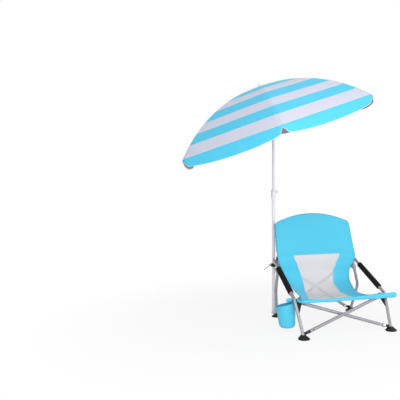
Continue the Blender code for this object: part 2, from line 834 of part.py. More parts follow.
def knuckle_upper():
    """The tongue between the ears and the socket that holds the stub pole."""
    reach = Y_AXIS * (TONGUE_THICK / 2)
    obj = cylinder("knuckle_upper", tilt_point - reach, tilt_point + reach, EAR_R - EAR_THICK / 2, "pole")
    root = tilt_point + head_up * (EAR_R + EAR_THICK)
    matrix = frame_matrix((tilt_point + root) / 2, head_up, Y_AXIS)
    length = (root - tilt_point).length + EAR_THICK
    web = box("tongue_web", matrix, (TONGUE_THICK, 2 * STUB_R, length), None, CUTTERS)
    boolean(obj, web, "UNION")
    top = root + head_up * STUB_SOCKET
    sleeve = cylinder("stub_socket", root, top, KNUCKLE_R, None, CUTTERS)
    boolean(obj, sleeve, "UNION")
    bore_low = root + head_up * EAR_THICK
    bore = cylinder("stub_bore", bore_low, top + head_up * OVERRUN, STUB_R + GAP, None, CUTTERS)
    boolean(obj, bore, "DIFFERENCE")
    reach = Y_AXIS * (TONGUE_THICK + OVERRUN)
    hole = cylinder("tongue_hole", tilt_point - reach, tilt_point + reach, PIN_R + GAP, None, CUTTERS, SMALL_SIDES)
    boolean(obj, hole, "DIFFERENCE")
    return obj


def knuckle_pin():
    half = TONGUE_THICK / 2 + 2 * GAP + EAR_THICK
    length = 2 * (half + HEAD_THICK)
    start = tilt_point - Y_AXIS * (half + HEAD_THICK)
    profile = (
        (0.0, 0.0),
        (HEAD_R, 0.0),
        (HEAD_R, HEAD_THICK),
        (PIN_R, HEAD_THICK),
        (PIN_R, length - HEAD_THICK),
        (HEAD_R, length - HEAD_THICK),
        (HEAD_R, length),
        (0.0, length),
    )
    return turned("knuckle_pin", profile, start, Y_AXIS, "rivet", SMALL_SIDES)


tip = tilt_point + head_up * STUB_LENGTH
crown = tip - head_up * CROWN_BELOW_TIP


def stub_pole():
    start = tilt_point + head_up * (EAR_R + 2 * EAR_THICK + GAP)
    return cylinder("stub_pole", start, crown - head_up * (CROWN_THICK / 2 + GAP), STUB_R, "pole")


def crown_piece():
    """The notched crown at the stub pole's top, which the ribs hang on."""
    base = crown - head_up * (CROWN_THICK / 2)
    profile = (
        (0.0, 0.0),
        (CROWN_R, 0.0),
        (CROWN_R, CROWN_THICK),
        (CANOPY_HOLE_R - 2 * GAP, CROWN_THICK),
        (CANOPY_HOLE_R - 2 * GAP, CROWN_THICK + CANOPY_LIFT + CANOPY_CLOTH),
        (0.0, CROWN_THICK + CANOPY_LIFT + CANOPY_CLOTH),
    )
    return turned("crown", profile, base, head_up, "black")


def finial():
    base = head_top + head_up * (2 * GAP)
    height = CROWN_BELOW_TIP - CROWN_THICK / 2 - CANOPY_LIFT - CANOPY_CLOTH - 2 * GAP
    profile = (
        (0.0, 0.0),
        (FINIAL_R + STUB_R, 0.0),
        (FINIAL_R, height / 4),
        (STUB_R / 2, height * 3 / 4),
        (STUB_R / 3, height),
        (0.0, height),
    )
    return turned("finial", profile, base, head_up, "pole")


# The ribs follow one arc. Its radius comes from the rim's radius and its drop below the crown.
ARC_R = (RIM_R**2 + RIM_DROP**2) / (2 * RIM_DROP)
ARC_HALF = math.asin(RIM_R / ARC_R)
head_top = crown + head_up * (CROWN_THICK / 2 + CANOPY_LIFT + CANOPY_CLOTH)


def head_direction(angle):
    """The direction across the head at an angle from straight ahead."""
    return head_side * math.sin(angle) - Y_AXIS * math.cos(angle)


def arc_point(angle, share, inset=0.0):
    """A point of the rib arc at a share of its length, set in from the cloth's outer face."""
    bend = ARC_HALF * share
    radius = (ARC_R - inset) * math.sin(bend)
    drop = ARC_R - (ARC_R - inset) * math.cos(bend)
    return head_top + head_direction(angle) * radius - head_up * drop


def rib_angle(index):
    return math.radians(RIB_PHASE_DEG + index * 360.0 / RIBS)


def row_place(place):
    """The share of the rib arc at a row of the canopy, counted from the hole at its top."""
    least = CANOPY_HOLE_R / RIM_R
    return least + (1 - least) * min(place / CANOPY_ROWS, 1.0)


def canopy_point(row_share, turn_share):
    """A point of the canopy's outer face. Rows past the rim make the hanging valance."""
    gore_angle = math.tau / RIBS
    rows = CANOPY_ROWS + 1
    place = row_share * rows
    turn = turn_share * RIBS
    across = turn - math.floor(turn)
    angle = rib_angle(0) + turn * gore_angle
    off_middle = (across - 0.5) * gore_angle
    chord = math.cos(gore_angle / 2) / math.cos(off_middle)
    share = row_place(place)
    bend = ARC_HALF * share
    blend = min(share * 3, 1.0)
    radius = ARC_R * math.sin(bend) * (1 + (chord - 1) * blend)
    drop = ARC_R - ARC_R * math.cos(bend)
    if place > CANOPY_ROWS:
        swell = math.sin(math.pi * across) ** VALANCE_POWER if 0.0 < across < 1.0 else 0.0
        drop += VALANCE_LEAST + (VALANCE - VALANCE_LEAST) * swell
    return head_top + head_direction(angle) * radius - head_up * drop


def canopy():
    obj = grid_mesh("canopy", CANOPY_ROWS + 1, RIBS * GORE_COLUMNS, canopy_point, "stripes", wrap=True)
    bm = bmesh.new()
    bm.from_mesh(obj.data)
    bmesh.ops.recalc_face_normals(bm, faces=bm.faces)
    middle = bm.faces[0]
    if middle.normal.dot(head_up) < 0.0:
        bmesh.ops.reverse_faces(bm, faces=bm.faces)
    bm.to_mesh(obj.data)
    bm.free()
    return solidify(obj, CANOPY_CLOTH, -1.0)


RIB_INSET = CANOPY_CLOTH + RIB_R + RIB_CLEARANCE


def rib(index):
    angle = rib_angle(index)
    path = [arc_point(angle, RIB_ROOT_R / RIM_R, RIB_INSET)]
    for row in range(1, CANOPY_ROWS):
        path.append(arc_point(angle, row_place(row), RIB_INSET))
    path.append(arc_point(angle, 1 - RIB_TIP_SHORT / RIM_R, RIB_INSET))
    return tube("rib_%d" % (index + 1), path, RIB_R, "steel", resolution=1)


def runner():
    """The runner that slides on the stub pole, with a flange for the stretchers."""
    base = crown - head_up * (RUNNER_OPEN_DROP + RUNNER_LENGTH / 2)
    bore = STUB_R + POLE_FIT
    flange = RUNNER_R + (STRETCHER_ROOT_R - STRETCHER_R - RUNNER_R) / 2
    low = (RUNNER_LENGTH - RUNNER_FLANGE) / 2
    profile = (
        (bore, 0.0),
        (RUNNER_R - CAP_WALL, 0.0),
        (RUNNER_R - CAP_WALL, low),
        (flange, low),
        (flange, low + RUNNER_FLANGE),
        (RUNNER_R - CAP_WALL, low + RUNNER_FLANGE),
        (RUNNER_R - CAP_WALL, RUNNER_LENGTH),
        (bore, RUNNER_LENGTH),
    )
    return turned("runner", profile, base, head_up, "black")


def stretcher(index):
    angle = rib_angle(index)
    outward = head_direction(angle)
    sideways = head_up.cross(outward) * STRETCHER_SIDE
    start = crown - head_up * RUNNER_OPEN_DROP + outward * STRETCHER_ROOT_R + sideways
    share = (RIB_ROOT_R + STRETCHER_REACH) / RIM_R
    end = arc_point(angle, share, RIB_INSET) + sideways
    return tube("stretcher_%d" % (index + 1), [start, end], STRETCHER_R, "steel", resolution=1)


back_direction = (back_top - upright_joint).normalized()
clamp_top = mirrored(upright_joint + back_direction * CLAMP_ABOVE_JOINT, -1)
clamp_low = pole_place(clamp_top.z - CLAMP_SLANT)


def clamp_body():
    """Two rings and a slanting web: one ring grips the left upright, the other holds the pole."""
    half = CLAMP_HEIGHT / 2
    slope = mirrored(back_direction, -1)
    middle = clamp_top
    pole_middle = clamp_low
    pole_ring = LOWER_POLE_R + GAP + CLAMP_WALL
    tube_ring = TUBE_R + GAP + CLAMP_WALL
    obj = cylinder("pole_clamp", pole_middle - Z_AXIS * half, pole_middle + Z_AXIS * half, pole_ring, "black")
    grip_ring = cylinder("clamp_ring", middle - slope * half, middle + slope * half, tube_ring, None, CUTTERS)
    boolean(obj, grip_ring, "UNION")
    across = pole_middle - middle
    matrix = frame_matrix((middle + pole_middle) / 2, X_AXIS.cross(across), across)
    size = (across.length - tube_ring, WEB_THICK, CLAMP_HEIGHT - CLAMP_WALL)
    boolean(obj, box("clamp_web", matrix, size, None, CUTTERS), "UNION")
    pole_bore = cylinder(
        "clamp_pole_bore",
        pole_middle - Z_AXIS * CLAMP_HEIGHT,
        pole_middle + Z_AXIS * CLAMP_HEIGHT,
        LOWER_POLE_R + GAP,
        None,
        CUTTERS,
    )
    boolean(obj, pole_bore, "DIFFERENCE")
    tube_bore = cylinder(
        "clamp_tube_bore",
        middle - slope * CLAMP_HEIGHT,
        middle + slope * CLAMP_HEIGHT,
        TUBE_R + GAP,
        None,
        CUTTERS,
    )
    boolean(obj, tube_bore, "DIFFERENCE")
    return obj


def clamp_lever():
    """The lever screw that closes the pole ring, on its outer side."""
    start = clamp_low - X_AXIS * (LOWER_POLE_R + 2 * GAP + CLAMP_WALL)
    obj = cylinder("clamp_lever", start, start - X_AXIS * LEVER_HUB, LEVER_HUB_R, "rivet", sides=SMALL_SIDES)
    root = start - X_AXIS * (LEVER_HUB / 2)
    lean = Vector(LEVER_LEAN_SHARES).normalized()
    bar = cylinder("lever_bar", root, root + lean * LEVER_LENGTH, LEVER_R, None, CUTTERS, SMALL_SIDES)
    boolean(obj, bar, "UNION")
    return obj


def build_chair():
    arms = {}
    posts = {}
    for word, side in SIDES:
        arms[word] = leg_and_arm(word + "_leg_and_arm", side)
        posts[word] = upright(word + "_upright", side)
        arm_rivet(word + "_arm_rivet", side, arms[word], posts[word])
        grip(word + "_grip", side)
        # Bar a starts at the left foot in the front layer, bar b at the right foot in the rear layer.
        layer = 1 if side < 0 else -1
        foot(
            word + "_front_foot",
            front_foot,
            leg_direction,
            mirrored(front_low, side),
            front_normal,
            layer,
            True,
            side,
        )
        foot(
            word + "_rear_foot",
            rear_foot,
            shin_direction,
            mirrored(rear_low, side),
            rear_normal,
            layer,
            side < 0,
            side,
        )
        leg_share = (front_high.z - BRACKET_LENGTH / 2) / hub.z
        bracket(
            word + "_front_bracket",
            mirrored(front_foot.lerp(hub, leg_share), side),
            mirrored(leg_direction, side),
            BRACKET_LENGTH,
            mirrored(front_high, side),
            front_normal,
            -layer,
        )
        post_share = (rear_high.z - ARM_BRACKET_LENGTH - knee.z) / (upright_joint.z - knee.z)
        bracket(
            word + "_arm_bracket",
            mirrored(knee.lerp(upright_joint, post_share), side),
            mirrored((upright_joint - knee).normalized(), side),
            ARM_BRACKET_LENGTH,
            mirrored(rear_high, side),
            rear_normal,
            -layer,
        )
    sets = (
        ("front", front_low, front_high, front_normal, True),
        ("rear", rear_low, rear_high, rear_normal, False),
    )
    for word, low, high, normal, far_pin in sets:
        bar_a = cross_bar(word + "_bar_a", mirrored(low, -1), high, normal, 1, True, True)
        bar_b = cross_bar(word + "_bar_b", low, mirrored(high, -1), normal, -1, far_pin, True, not far_pin)
        cross_rivet(word + "_cross_rivet", crossing(low, high), normal, (bar_a, bar_b))
    sling()
    cup_holder()
    cup_strap()


def build_umbrella():
    lower_pole()
    pole_cap()
    pole_collar()
    collar_knob()
    clamp_body()
    clamp_lever()
    upper_pole()
    knuckle_lower()
    knuckle_upper()
    knuckle_pin()
    stub_pole()
    crown_piece()
    finial()
    runner()
    canopy()
    for index in range(RIBS):
        rib(index)
        stretcher(index)


def centre_on_origin():
    """Moves everything so that the bounding box is centred on X = 0 and Y = 0."""
    graph = bpy.context.evaluated_depsgraph_get()
    xs = []
    ys = []
    for obj in PARTS.objects:
        evaluated = obj.evaluated_get(graph)
        for vertex in evaluated.to_mesh().vertices:
            place = evaluated.matrix_world @ vertex.co
            xs.append(place.x)
            ys.append(place.y)
        evaluated.to_mesh_clear()
    shift = Vector((-(min(xs) + max(xs)) / 2, -(min(ys) + max(ys)) / 2, 0.0))
    for obj in list(PARTS.objects) + list(CUTTERS.objects):
        obj.matrix_world = Matrix.Translation(shift) @ obj.matrix_world


build_chair()
build_umbrella()
bpy.context.view_layer.update()
centre_on_origin()
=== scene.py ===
import json
import math

import bmesh
import bpy
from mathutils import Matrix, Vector


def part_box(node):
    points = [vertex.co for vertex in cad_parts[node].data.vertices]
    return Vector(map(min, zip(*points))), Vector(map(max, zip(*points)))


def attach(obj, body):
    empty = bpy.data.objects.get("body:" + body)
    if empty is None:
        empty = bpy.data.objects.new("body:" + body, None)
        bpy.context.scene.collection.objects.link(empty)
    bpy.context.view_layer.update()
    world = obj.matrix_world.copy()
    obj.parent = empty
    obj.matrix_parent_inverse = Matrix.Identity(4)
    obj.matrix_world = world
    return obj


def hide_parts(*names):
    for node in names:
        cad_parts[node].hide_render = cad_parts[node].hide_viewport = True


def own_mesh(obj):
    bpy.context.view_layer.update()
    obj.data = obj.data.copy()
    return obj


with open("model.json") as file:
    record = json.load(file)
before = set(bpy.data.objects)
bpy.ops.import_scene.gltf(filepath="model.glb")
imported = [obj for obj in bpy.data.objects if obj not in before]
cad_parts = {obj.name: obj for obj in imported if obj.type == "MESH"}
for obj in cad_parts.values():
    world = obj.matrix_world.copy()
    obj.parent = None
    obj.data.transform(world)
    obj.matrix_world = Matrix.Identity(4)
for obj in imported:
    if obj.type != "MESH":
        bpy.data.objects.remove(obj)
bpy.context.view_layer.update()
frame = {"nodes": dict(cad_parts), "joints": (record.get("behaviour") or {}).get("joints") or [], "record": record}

NODES = frame["nodes"]
JOINTS = {joint["name"]: joint for joint in frame["joints"]}

# Places, in metres
# The chair was designed about its own middle plane; CHAIR moves those places into the row frame.
pole_low, pole_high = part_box("lower_pole")
left_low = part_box("left_upright")[0]
right_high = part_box("right_upright")[1]
POLE_Y = 0.3498
CHAIR = Vector(((left_low.x + right_high.x) / 2, (pole_low.y + pole_high.y) / 2 - POLE_Y, 0.0))

UPRIGHT_JOINT = Vector((0.2621, 0.2338, 0.3550))
BACK_TOP = Vector((0.2542, 0.3199, 0.6040))

FRAME_DEPTH = 0.535
BACK_HEIGHT = 0.612
SEAT_HALF = 0.280
# The sling's rows from the top of the back to the front edge of the seat: the edge's depth, height
# and half width, then the middle's depth and height, as shares of the three sizes above.
SLING_ROW_SHARES = (
    (0.572, 0.994, 0.943, 0.610, 1.092),
    (0.485, 0.790, 0.960, 0.515, 0.800),
    (0.414, 0.640, 0.970, 0.440, 0.640),
    (0.408, 0.560, 0.920, 0.434, 0.540),
    (0.418, 0.480, 0.835, 0.425, 0.450),
    (0.345, 0.390, 0.765, 0.375, 0.345),
    (0.205, 0.325, 0.720, 0.260, 0.260),
    (0.040, 0.291, 0.700, 0.090, 0.234),
    (-0.110, 0.285, 0.800, -0.080, 0.236),
    (-0.250, 0.318, 0.910, -0.230, 0.276),
    (-0.352, 0.342, 0.985, -0.350, 0.318),
)

RIBS = 6
RIB_PHASE = math.radians(-14.7)
RIM_R = 0.692
RIM_DROP = 0.291
ARC_R = (RIM_R**2 + RIM_DROP**2) / (2 * RIM_DROP)
ARC_HALF = math.asin(RIM_R / ARC_R)
HOLE_R = 0.0135
VALANCE = 0.066
VALANCE_LEAST = 0.006
VALANCE_POWER = 0.25
HEAD_TOP_REACH = 0.2674

cup_low, cup_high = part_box("cup_holder")
CUP = Vector(((cup_low.x + cup_high.x) / 2, (cup_low.y + cup_high.y) / 2, cup_high.z))
CUP_DEPTH = cup_high.z - cup_low.z
CUP_TOP_R = 0.0550
CUP_LOW_R = 0.0435

BLUE = (0.088, 0.640, 0.880, 1.0)
BLUE_DARK = (0.045, 0.400, 0.620, 1.0)
WHITE_STRIPE = (0.700, 0.700, 0.820, 1.0)
SILVER = (0.420, 0.420, 0.450, 1.0)
MESH_GREY = (0.790, 0.780, 0.805, 1.0)
WORN_METAL = (0.700, 0.700, 0.720, 1.0)
# Where each stripe starts, as a share of the way from the crown to the rim
STRIPES = ((0.0, BLUE), (0.08, WHITE_STRIPE), (0.21, BLUE), (0.35, WHITE_STRIPE), (0.49, BLUE),
           (0.63, WHITE_STRIPE), (0.75, BLUE), (0.86, WHITE_STRIPE), (0.982, BLUE))
# The open mesh: holes across and along its map, how high a wave must be for a hole, how clear a hole is
MESH_COUNTS = (130.0, 300.0)
MESH_LEAST_WAVE = 0.12
MESH_CLEAR = 0.95


def chair(x, y, z):
    return Vector((x, y, z)) + CHAIR


# Materials
def node(tree, kind, **values):
    made = tree.nodes.new(kind)
    for key, value in values.items():
        setattr(made, key, value)
    return made


def new_material(name):
    material = bpy.data.materials.new(name)
    material.use_nodes = True
    tree = material.node_tree
    return material, tree, tree.nodes["Principled BSDF"]


def object_coordinates(tree, scale):
    """Object coordinates, scaled: the same at every camera."""
    coord = node(tree, "ShaderNodeTexCoord")
    mapping = node(tree, "ShaderNodeMapping")
    mapping.inputs["Scale"].default_value = scale
    tree.links.new(coord.outputs["Object"], mapping.inputs["Vector"])
    return mapping.outputs["Vector"]


def noise(tree, vector, scale, detail, roughness=0.55):
    made = node(tree, "ShaderNodeTexNoise")
    made.inputs["Scale"].default_value = scale
    made.inputs["Detail"].default_value = detail
    made.inputs["Roughness"].default_value = roughness
    tree.links.new(vector, made.inputs["Vector"])
    return made.outputs["Fac"]


def math_node(tree, operation, a, b=None):
    made = node(tree, "ShaderNodeMath", operation=operation)
    for index, value in enumerate((a, b)):
        if value is None:
            continue
        if isinstance(value, (int, float)):
            made.inputs[index].default_value = value
        else:
            tree.links.new(value, made.inputs[index])
    return made.outputs[0]


def mix_colour(tree, factor, first, second):
    made = node(tree, "ShaderNodeMix", data_type="RGBA")
    for socket, value in ((made.inputs[0], factor), (made.inputs[6], first), (made.inputs[7], second)):
        if isinstance(value, (int, float, tuple)):
            socket.default_value = value
        else:
            tree.links.new(value, socket)
    return made.outputs[2]


def bump(tree, shader, height, strength, distance):
    made = node(tree, "ShaderNodeBump")
    made.inputs["Strength"].default_value = strength
    made.inputs["Distance"].default_value = distance
    tree.links.new(height, made.inputs["Height"])
    tree.links.new(made.outputs["Normal"], shader.inputs["Normal"])


def weave(tree, vector, pitch):
    """Plain weave: the higher of two crossed sets of threads."""
    waves = []
    for direction in ("X", "Z"):
        wave = node(tree, "ShaderNodeTexWave", wave_type="BANDS", bands_direction=direction)
        wave.inputs["Scale"].default_value = 0.5 / pitch
        wave.inputs["Distortion"].default_value = 0.6
        wave.inputs["Detail"].default_value = 1.0
        tree.links.new(vector, wave.inputs["Vector"])
        waves.append(wave.outputs["Fac"])
    return math_node(tree, "MAXIMUM", waves[0], waves[1])


def shade_lines(tree, coordinate, places, width):
    """1 on lines of a coordinate at the given places, 0 elsewhere."""
    total = None
    for place in places:
        away = math_node(tree, "ABSOLUTE", math_node(tree, "SUBTRACT", coordinate, place))
        line = math_node(tree, "LESS_THAN", away, width / 2)
        total = line if total is None else math_node(tree, "MAXIMUM", total, line)
    return total


def uv_parts(tree, name):
    uv = node(tree, "ShaderNodeUVMap", uv_map=name)
    split = node(tree, "ShaderNodeSeparateXYZ")
    tree.links.new(uv.outputs["UV"], split.inputs[0])
    return split.outputs["X"], split.outputs["Y"]


def cloth_colour(tree, vector, colour, dark):
    """Cloth colour with soft fading and slight thread streaks."""
    broad = noise(tree, vector, 7.0, 2.0)
    fine = noise(tree, vector, 260.0, 2.0)
    first = mix_colour(tree, math_node(tree, "MULTIPLY", broad, 0.10), colour, dark)
    return mix_colour(tree, math_node(tree, "MULTIPLY", fine, 0.07), first, dark)


def cloth(name, colour, dark, roughness=0.75, sheen=0.25, pitch=0.0011):
    material, tree, shader = new_material(name)
    vector = object_coordinates(tree, (1.0, 1.0, 1.0))
    tree.links.new(cloth_colour(tree, vector, colour, dark), shader.inputs["Base Color"])
    shader.inputs["Roughness"].default_value = roughness
    shader.inputs["Sheen Weight"].default_value = sheen
    bump(tree, shader, weave(tree, vector, pitch), 0.25, 0.0004)
    return material


def stitched_cloth(name, colour, dark, across_lines, along_lines, line_width):
    """Cloth whose stitch lines run at set places of its own map."""
    material, tree, shader = new_material(name)
    vector = object_coordinates(tree, (1.0, 1.0, 1.0))
    base = cloth_colour(tree, vector, colour, dark)
    across, along = uv_parts(tree, "cut")
    lines = math_node(tree, "MAXIMUM", shade_lines(tree, along, along_lines, line_width),
                      shade_lines(tree, across, across_lines, line_width))
    thread = math_node(tree, "MULTIPLY", lines, 0.55)
    tree.links.new(mix_colour(tree, thread, base, dark), shader.inputs["Base Color"])
    shader.inputs["Roughness"].default_value = 0.72
    shader.inputs["Sheen Weight"].default_value = 0.25
    dents = math_node(tree, "MULTIPLY", lines, 2.0)
    height = math_node(tree, "SUBTRACT", weave(tree, vector, 0.0011), dents)
    bump(tree, shader, height, 0.3, 0.0005)
    return material


def striped_cloth(name):
    """Concentric stripes set by the share of the way from the crown to the rim."""
    material, tree, shader = new_material(name)
    vector = object_coordinates(tree, (1.0, 1.0, 1.0))
    across, along = uv_parts(tree, "cut")
    ramp = node(tree, "ShaderNodeValToRGB")
    ramp.color_ramp.interpolation = "CONSTANT"
    elements = ramp.color_ramp.elements
    for element, (position, colour) in zip(elements, STRIPES):
        element.position, element.color = position, colour
    for position, colour in STRIPES[2:]:
        elements.new(position).color = colour
    tree.links.new(along, ramp.inputs["Fac"])
    seam = shade_lines(tree, across, (0.5,), 0.012)
    base = mix_colour(tree, math_node(tree, "MULTIPLY", noise(tree, vector, 9.0, 2.0), 0.06),
                      ramp.outputs["Color"], BLUE_DARK)
    base = mix_colour(tree, math_node(tree, "MULTIPLY", seam, 0.08), base, BLUE_DARK)
    tree.links.new(base, shader.inputs["Base Color"])
    shader.inputs["Roughness"].default_value = 0.70
    shader.inputs["Sheen Weight"].default_value = 0.05
    bump(tree, shader, weave(tree, vector, 0.0009), 0.18, 0.0003)
    return material


def mesh_cloth(name):
    """Open knitted mesh: small holes in rows, so that what is behind shows through."""
    material, tree, shader = new_material(name)
    vector = object_coordinates(tree, (1.0, 1.0, 1.0))
    across, along = uv_parts(tree, "cut")
    waves = []
    for coordinate, count in zip((across, along), MESH_COUNTS):
        waves.append(math_node(tree, "SINE", math_node(tree, "MULTIPLY", coordinate, count * math.tau)))
    product = math_node(tree, "MULTIPLY", waves[0], waves[1])
    hole = math_node(tree, "GREATER_THAN", product, MESH_LEAST_WAVE)
    base = cloth_colour(tree, vector, MESH_GREY, (0.62, 0.61, 0.64, 1.0))
    tree.links.new(base, shader.inputs["Base Color"])
    shader.inputs["Roughness"].default_value = 0.7
    clear = node(tree, "ShaderNodeBsdfTransparent")
    mixed = node(tree, "ShaderNodeMixShader")
    tree.links.new(math_node(tree, "MULTIPLY", hole, MESH_CLEAR), mixed.inputs[0])
    tree.links.new(shader.outputs[0], mixed.inputs[1])
    tree.links.new(clear.outputs[0], mixed.inputs[2])
    tree.links.new(mixed.outputs[0], tree.nodes["Material Output"].inputs["Surface"])
    bump(tree, shader, product, 0.3, 0.0006)
    return material


def coated_metal(name, colour, roughness, metallic, grain):
    """Paint or plating with fine specks, a little worn at sharp edges."""
    material, tree, shader = new_material(name)
    vector = object_coordinates(tree, (1.0, 1.0, 1.0))
    specks = noise(tree, vector, grain, 4.0, 0.6)
    geometry = node(tree, "ShaderNodeNewGeometry")
    edge = math_node(tree, "GREATER_THAN", geometry.outputs["Pointiness"], 0.56)
    worn = math_node(tree, "MULTIPLY", edge, math_node(tree, "MULTIPLY", specks, 0.35))
    tone = mix_colour(tree, math_node(tree, "MULTIPLY", specks, 0.14), colour,
                      tuple(0.6 * c for c in colour[:3]) + (1.0,))
    tree.links.new(mix_colour(tree, worn, tone, WORN_METAL), shader.inputs["Base Color"])
    shader.inputs["Metallic"].default_value = metallic
    rough = math_node(tree, "ADD", math_node(tree, "MULTIPLY", specks, 0.16), roughness - 0.08)
    tree.links.new(rough, shader.inputs["Roughness"])
    bump(tree, shader, specks, 0.08, 0.0003)
    return material


def moulded_plastic(name, colour, roughness):
    material, tree, shader = new_material(name)
    vector = object_coordinates(tree, (1.0, 1.0, 1.0))
    grain = noise(tree, vector, 900.0, 2.0)
    broad = noise(tree, vector, 30.0, 2.0)
    pale = tuple(min(1.0, c + 0.03) for c in colour[:3]) + (1.0,)
    tone = mix_colour(tree, math_node(tree, "MULTIPLY", broad, 0.6), colour, pale)
    tree.links.new(tone, shader.inputs["Base Color"])
    rough = math_node(tree, "ADD", math_node(tree, "MULTIPLY", broad, 0.15), roughness - 0.07)
    tree.links.new(rough, shader.inputs["Roughness"])
    shader.inputs["Specular IOR Level"].default_value = 0.22
    bump(tree, shader, grain, 0.12, 0.0002)
    return material


def foam_rubber(name):
    material, tree, shader = new_material(name)
    vector = object_coordinates(tree, (1.0, 1.0, 1.0))
    cells = node(tree, "ShaderNodeTexVoronoi")
    cells.inputs["Scale"].default_value = 700.0
    tree.links.new(vector, cells.inputs["Vector"])
    broad = noise(tree, vector, 60.0, 3.0)
    tree.links.new(mix_colour(tree, broad, (0.006, 0.006, 0.007, 1.0), (0.020, 0.019, 0.022, 1.0)),
                   shader.inputs["Base Color"])
    shader.inputs["Roughness"].default_value = 0.92
    shader.inputs["Specular IOR Level"].default_value = 0.12
    bump(tree, shader, cells.outputs["Distance"], 0.5, 0.0006)
    return material


MAT = {
    "blue": cloth("blue_cloth_plain", BLUE, BLUE_DARK),
    "stitched": stitched_cloth(
        "blue_cloth_stitched", BLUE, BLUE_DARK, (0.035, 0.965), (0.168, 0.184), 0.0018
    ),
    "stripes": striped_cloth("striped_canopy_cloth"),
    "silver": cloth("silver_lining", SILVER, (0.25, 0.25, 0.28, 1.0), 0.55, 0.1, 0.0009),
    "mesh": mesh_cloth("open_mesh_cloth"),
    "piping": cloth("blue_piping", (0.060, 0.450, 0.680, 1.0), BLUE_DARK, 0.7, 0.2, 0.0008),
    "pale_piping": cloth("pale_piping", (0.60, 0.66, 0.72, 1.0), (0.40, 0.45, 0.52, 1.0), 0.7, 0.2, 0.0008),
    "hem": cloth("pale_hem", (0.84, 0.87, 0.91, 1.0), (0.6, 0.66, 0.74, 1.0), 0.7, 0.2, 0.0008),
    "under": cloth("grey_backing", (0.36, 0.36, 0.38, 1.0), (0.25, 0.25, 0.27, 1.0), 0.8, 0.1, 0.0009),
    "steel": coated_metal("grey_coated_tube", (0.285, 0.278, 0.312, 1.0), 0.28, 0.30, 420.0),
    "rib": coated_metal("bright_rib_wire", (0.400, 0.400, 0.420, 1.0), 0.30, 0.85, 300.0),
    "pole": coated_metal("white_coated_pole", (0.955, 0.955, 0.965, 1.0), 0.34, 0.0, 300.0),
    "rivet": coated_metal("bright_rivet", (0.640, 0.640, 0.660, 1.0), 0.24, 1.0, 500.0),
    "black": moulded_plastic("black_moulded_plastic", (0.006, 0.006, 0.007, 1.0), 0.50),
    "foam": foam_rubber("black_foam"),
}

CAD_MATERIALS = {
    "steel_tube": "steel",
    "black_plastic": "black",
    "foam": "foam",
    "white_pole": "pole",
    "rivet": "rivet",
    "blue_cloth": "blue",
    "striped_cloth": "stripes",
}
# Pieces whose look differs from the others of their material
NODE_LOOKS = {
    "collar_knob": "pole",
    "pole_cap": "pole",
    "left_arm_bracket": "steel",
    "right_arm_bracket": "steel",
    "front_cross_rivet": "steel",
    "rear_cross_rivet": "steel",
    "clamp_lever": "steel",
    "cup_strap": "under",
}
SLOTS = {part["node"]: part["material_slot"] for part in frame["record"]["subparts"]}
for name, obj in NODES.items():
    look = "rib" if name.startswith(("rib_", "stretcher_")) else CAD_MATERIALS[SLOTS[name]]
    look = NODE_LOOKS.get(name, look)
    obj.data.materials.clear()
    obj.data.materials.append(MAT[look])
    obj.data.shade_smooth()
    obj.data.set_sharp_from_angle(angle=math.radians(38))


# Mesh helpers
def link(name, bm, looks):
    """Makes the object of a finished mesh under construction."""
    mesh = bpy.data.meshes.new(name)
    bm.to_mesh(mesh)
    bm.free()
    obj = bpy.data.objects.new(name, mesh)
    bpy.context.scene.collection.objects.link(obj)
    for look in looks:
        mesh.materials.append(MAT[look])
    return obj


def surface(name, rows, columns, point, looks, cut, face_look=None):
    """A grid of quads. point(row, column) gives a place; cut gives its map coordinates."""
    bm = bmesh.new()
    layer = bm.loops.layers.uv.new("cut")
    verts = []
    shares = {}
    for r in range(rows + 1):
        line = []
        for c in range(columns + 1):
            vert = bm.verts.new(point(r / rows, c / columns))
            shares[vert] = cut(r / rows, c / columns)
            line.append(vert)
        verts.append(line)
    for r in range(rows):
        for c in range(columns):
            face = bm.faces.new((verts[r][c], verts[r + 1][c], verts[r + 1][c + 1], verts[r][c + 1]))
            face.smooth = True
            if face_look:
                face.material_index = face_look((r + 0.5) / rows, (c + 0.5) / columns)
            for loop in face.loops:
                loop[layer].uv = shares[loop.vert]
    for edge in bm.edges:
        edge.smooth = not edge.is_boundary
    return link(name, bm, looks)


def tube_mesh(name, path, radius, look, sides, flat=1.0, up=Vector((0.0, 0.0, 1.0))):
    """A round or flattened tube along a path, with closed ends. radius may be a function of the share."""
    bm = bmesh.new()
    rings = []
    count = len(path)
    for index, place in enumerate(path):
        ahead = path[min(index + 1, count - 1)] - path[max(index - 1, 0)]
        along = ahead.normalized()
        side = along.cross(up)
        side = side.normalized() if side.length > 1e-4 else Vector((1.0, 0.0, 0.0))
        rise = side.cross(along).normalized()
        size = radius(index / (count - 1)) if callable(radius) else radius
        ring = []
        for step in range(sides):
            angle = math.tau * step / sides
            wide = side * (size * flat * math.cos(angle))
            ring.append(bm.verts.new(place + wide + rise * (size * math.sin(angle))))
        rings.append(ring)
    for low, high in zip(rings, rings[1:]):
        for step in range(sides):
            other = (step + 1) % sides
            bm.faces.new((low[step], low[other], high[other], high[step]))
    bm.faces.new(list(reversed(rings[0])))
    bm.faces.new(rings[-1])
    bmesh.ops.recalc_face_normals(bm, faces=bm.faces)
    for face in bm.faces:
        face.smooth = len(face.verts) == 4
    return link(name, bm, [look])


def thicken(obj, thickness, offset, inner):
    """inner is how far the inner side's material is along the list from the outer side's."""
    made = obj.modifiers.new("thickness", "SOLIDIFY")
    made.thickness = thickness
    made.offset = offset
    made.material_offset = inner


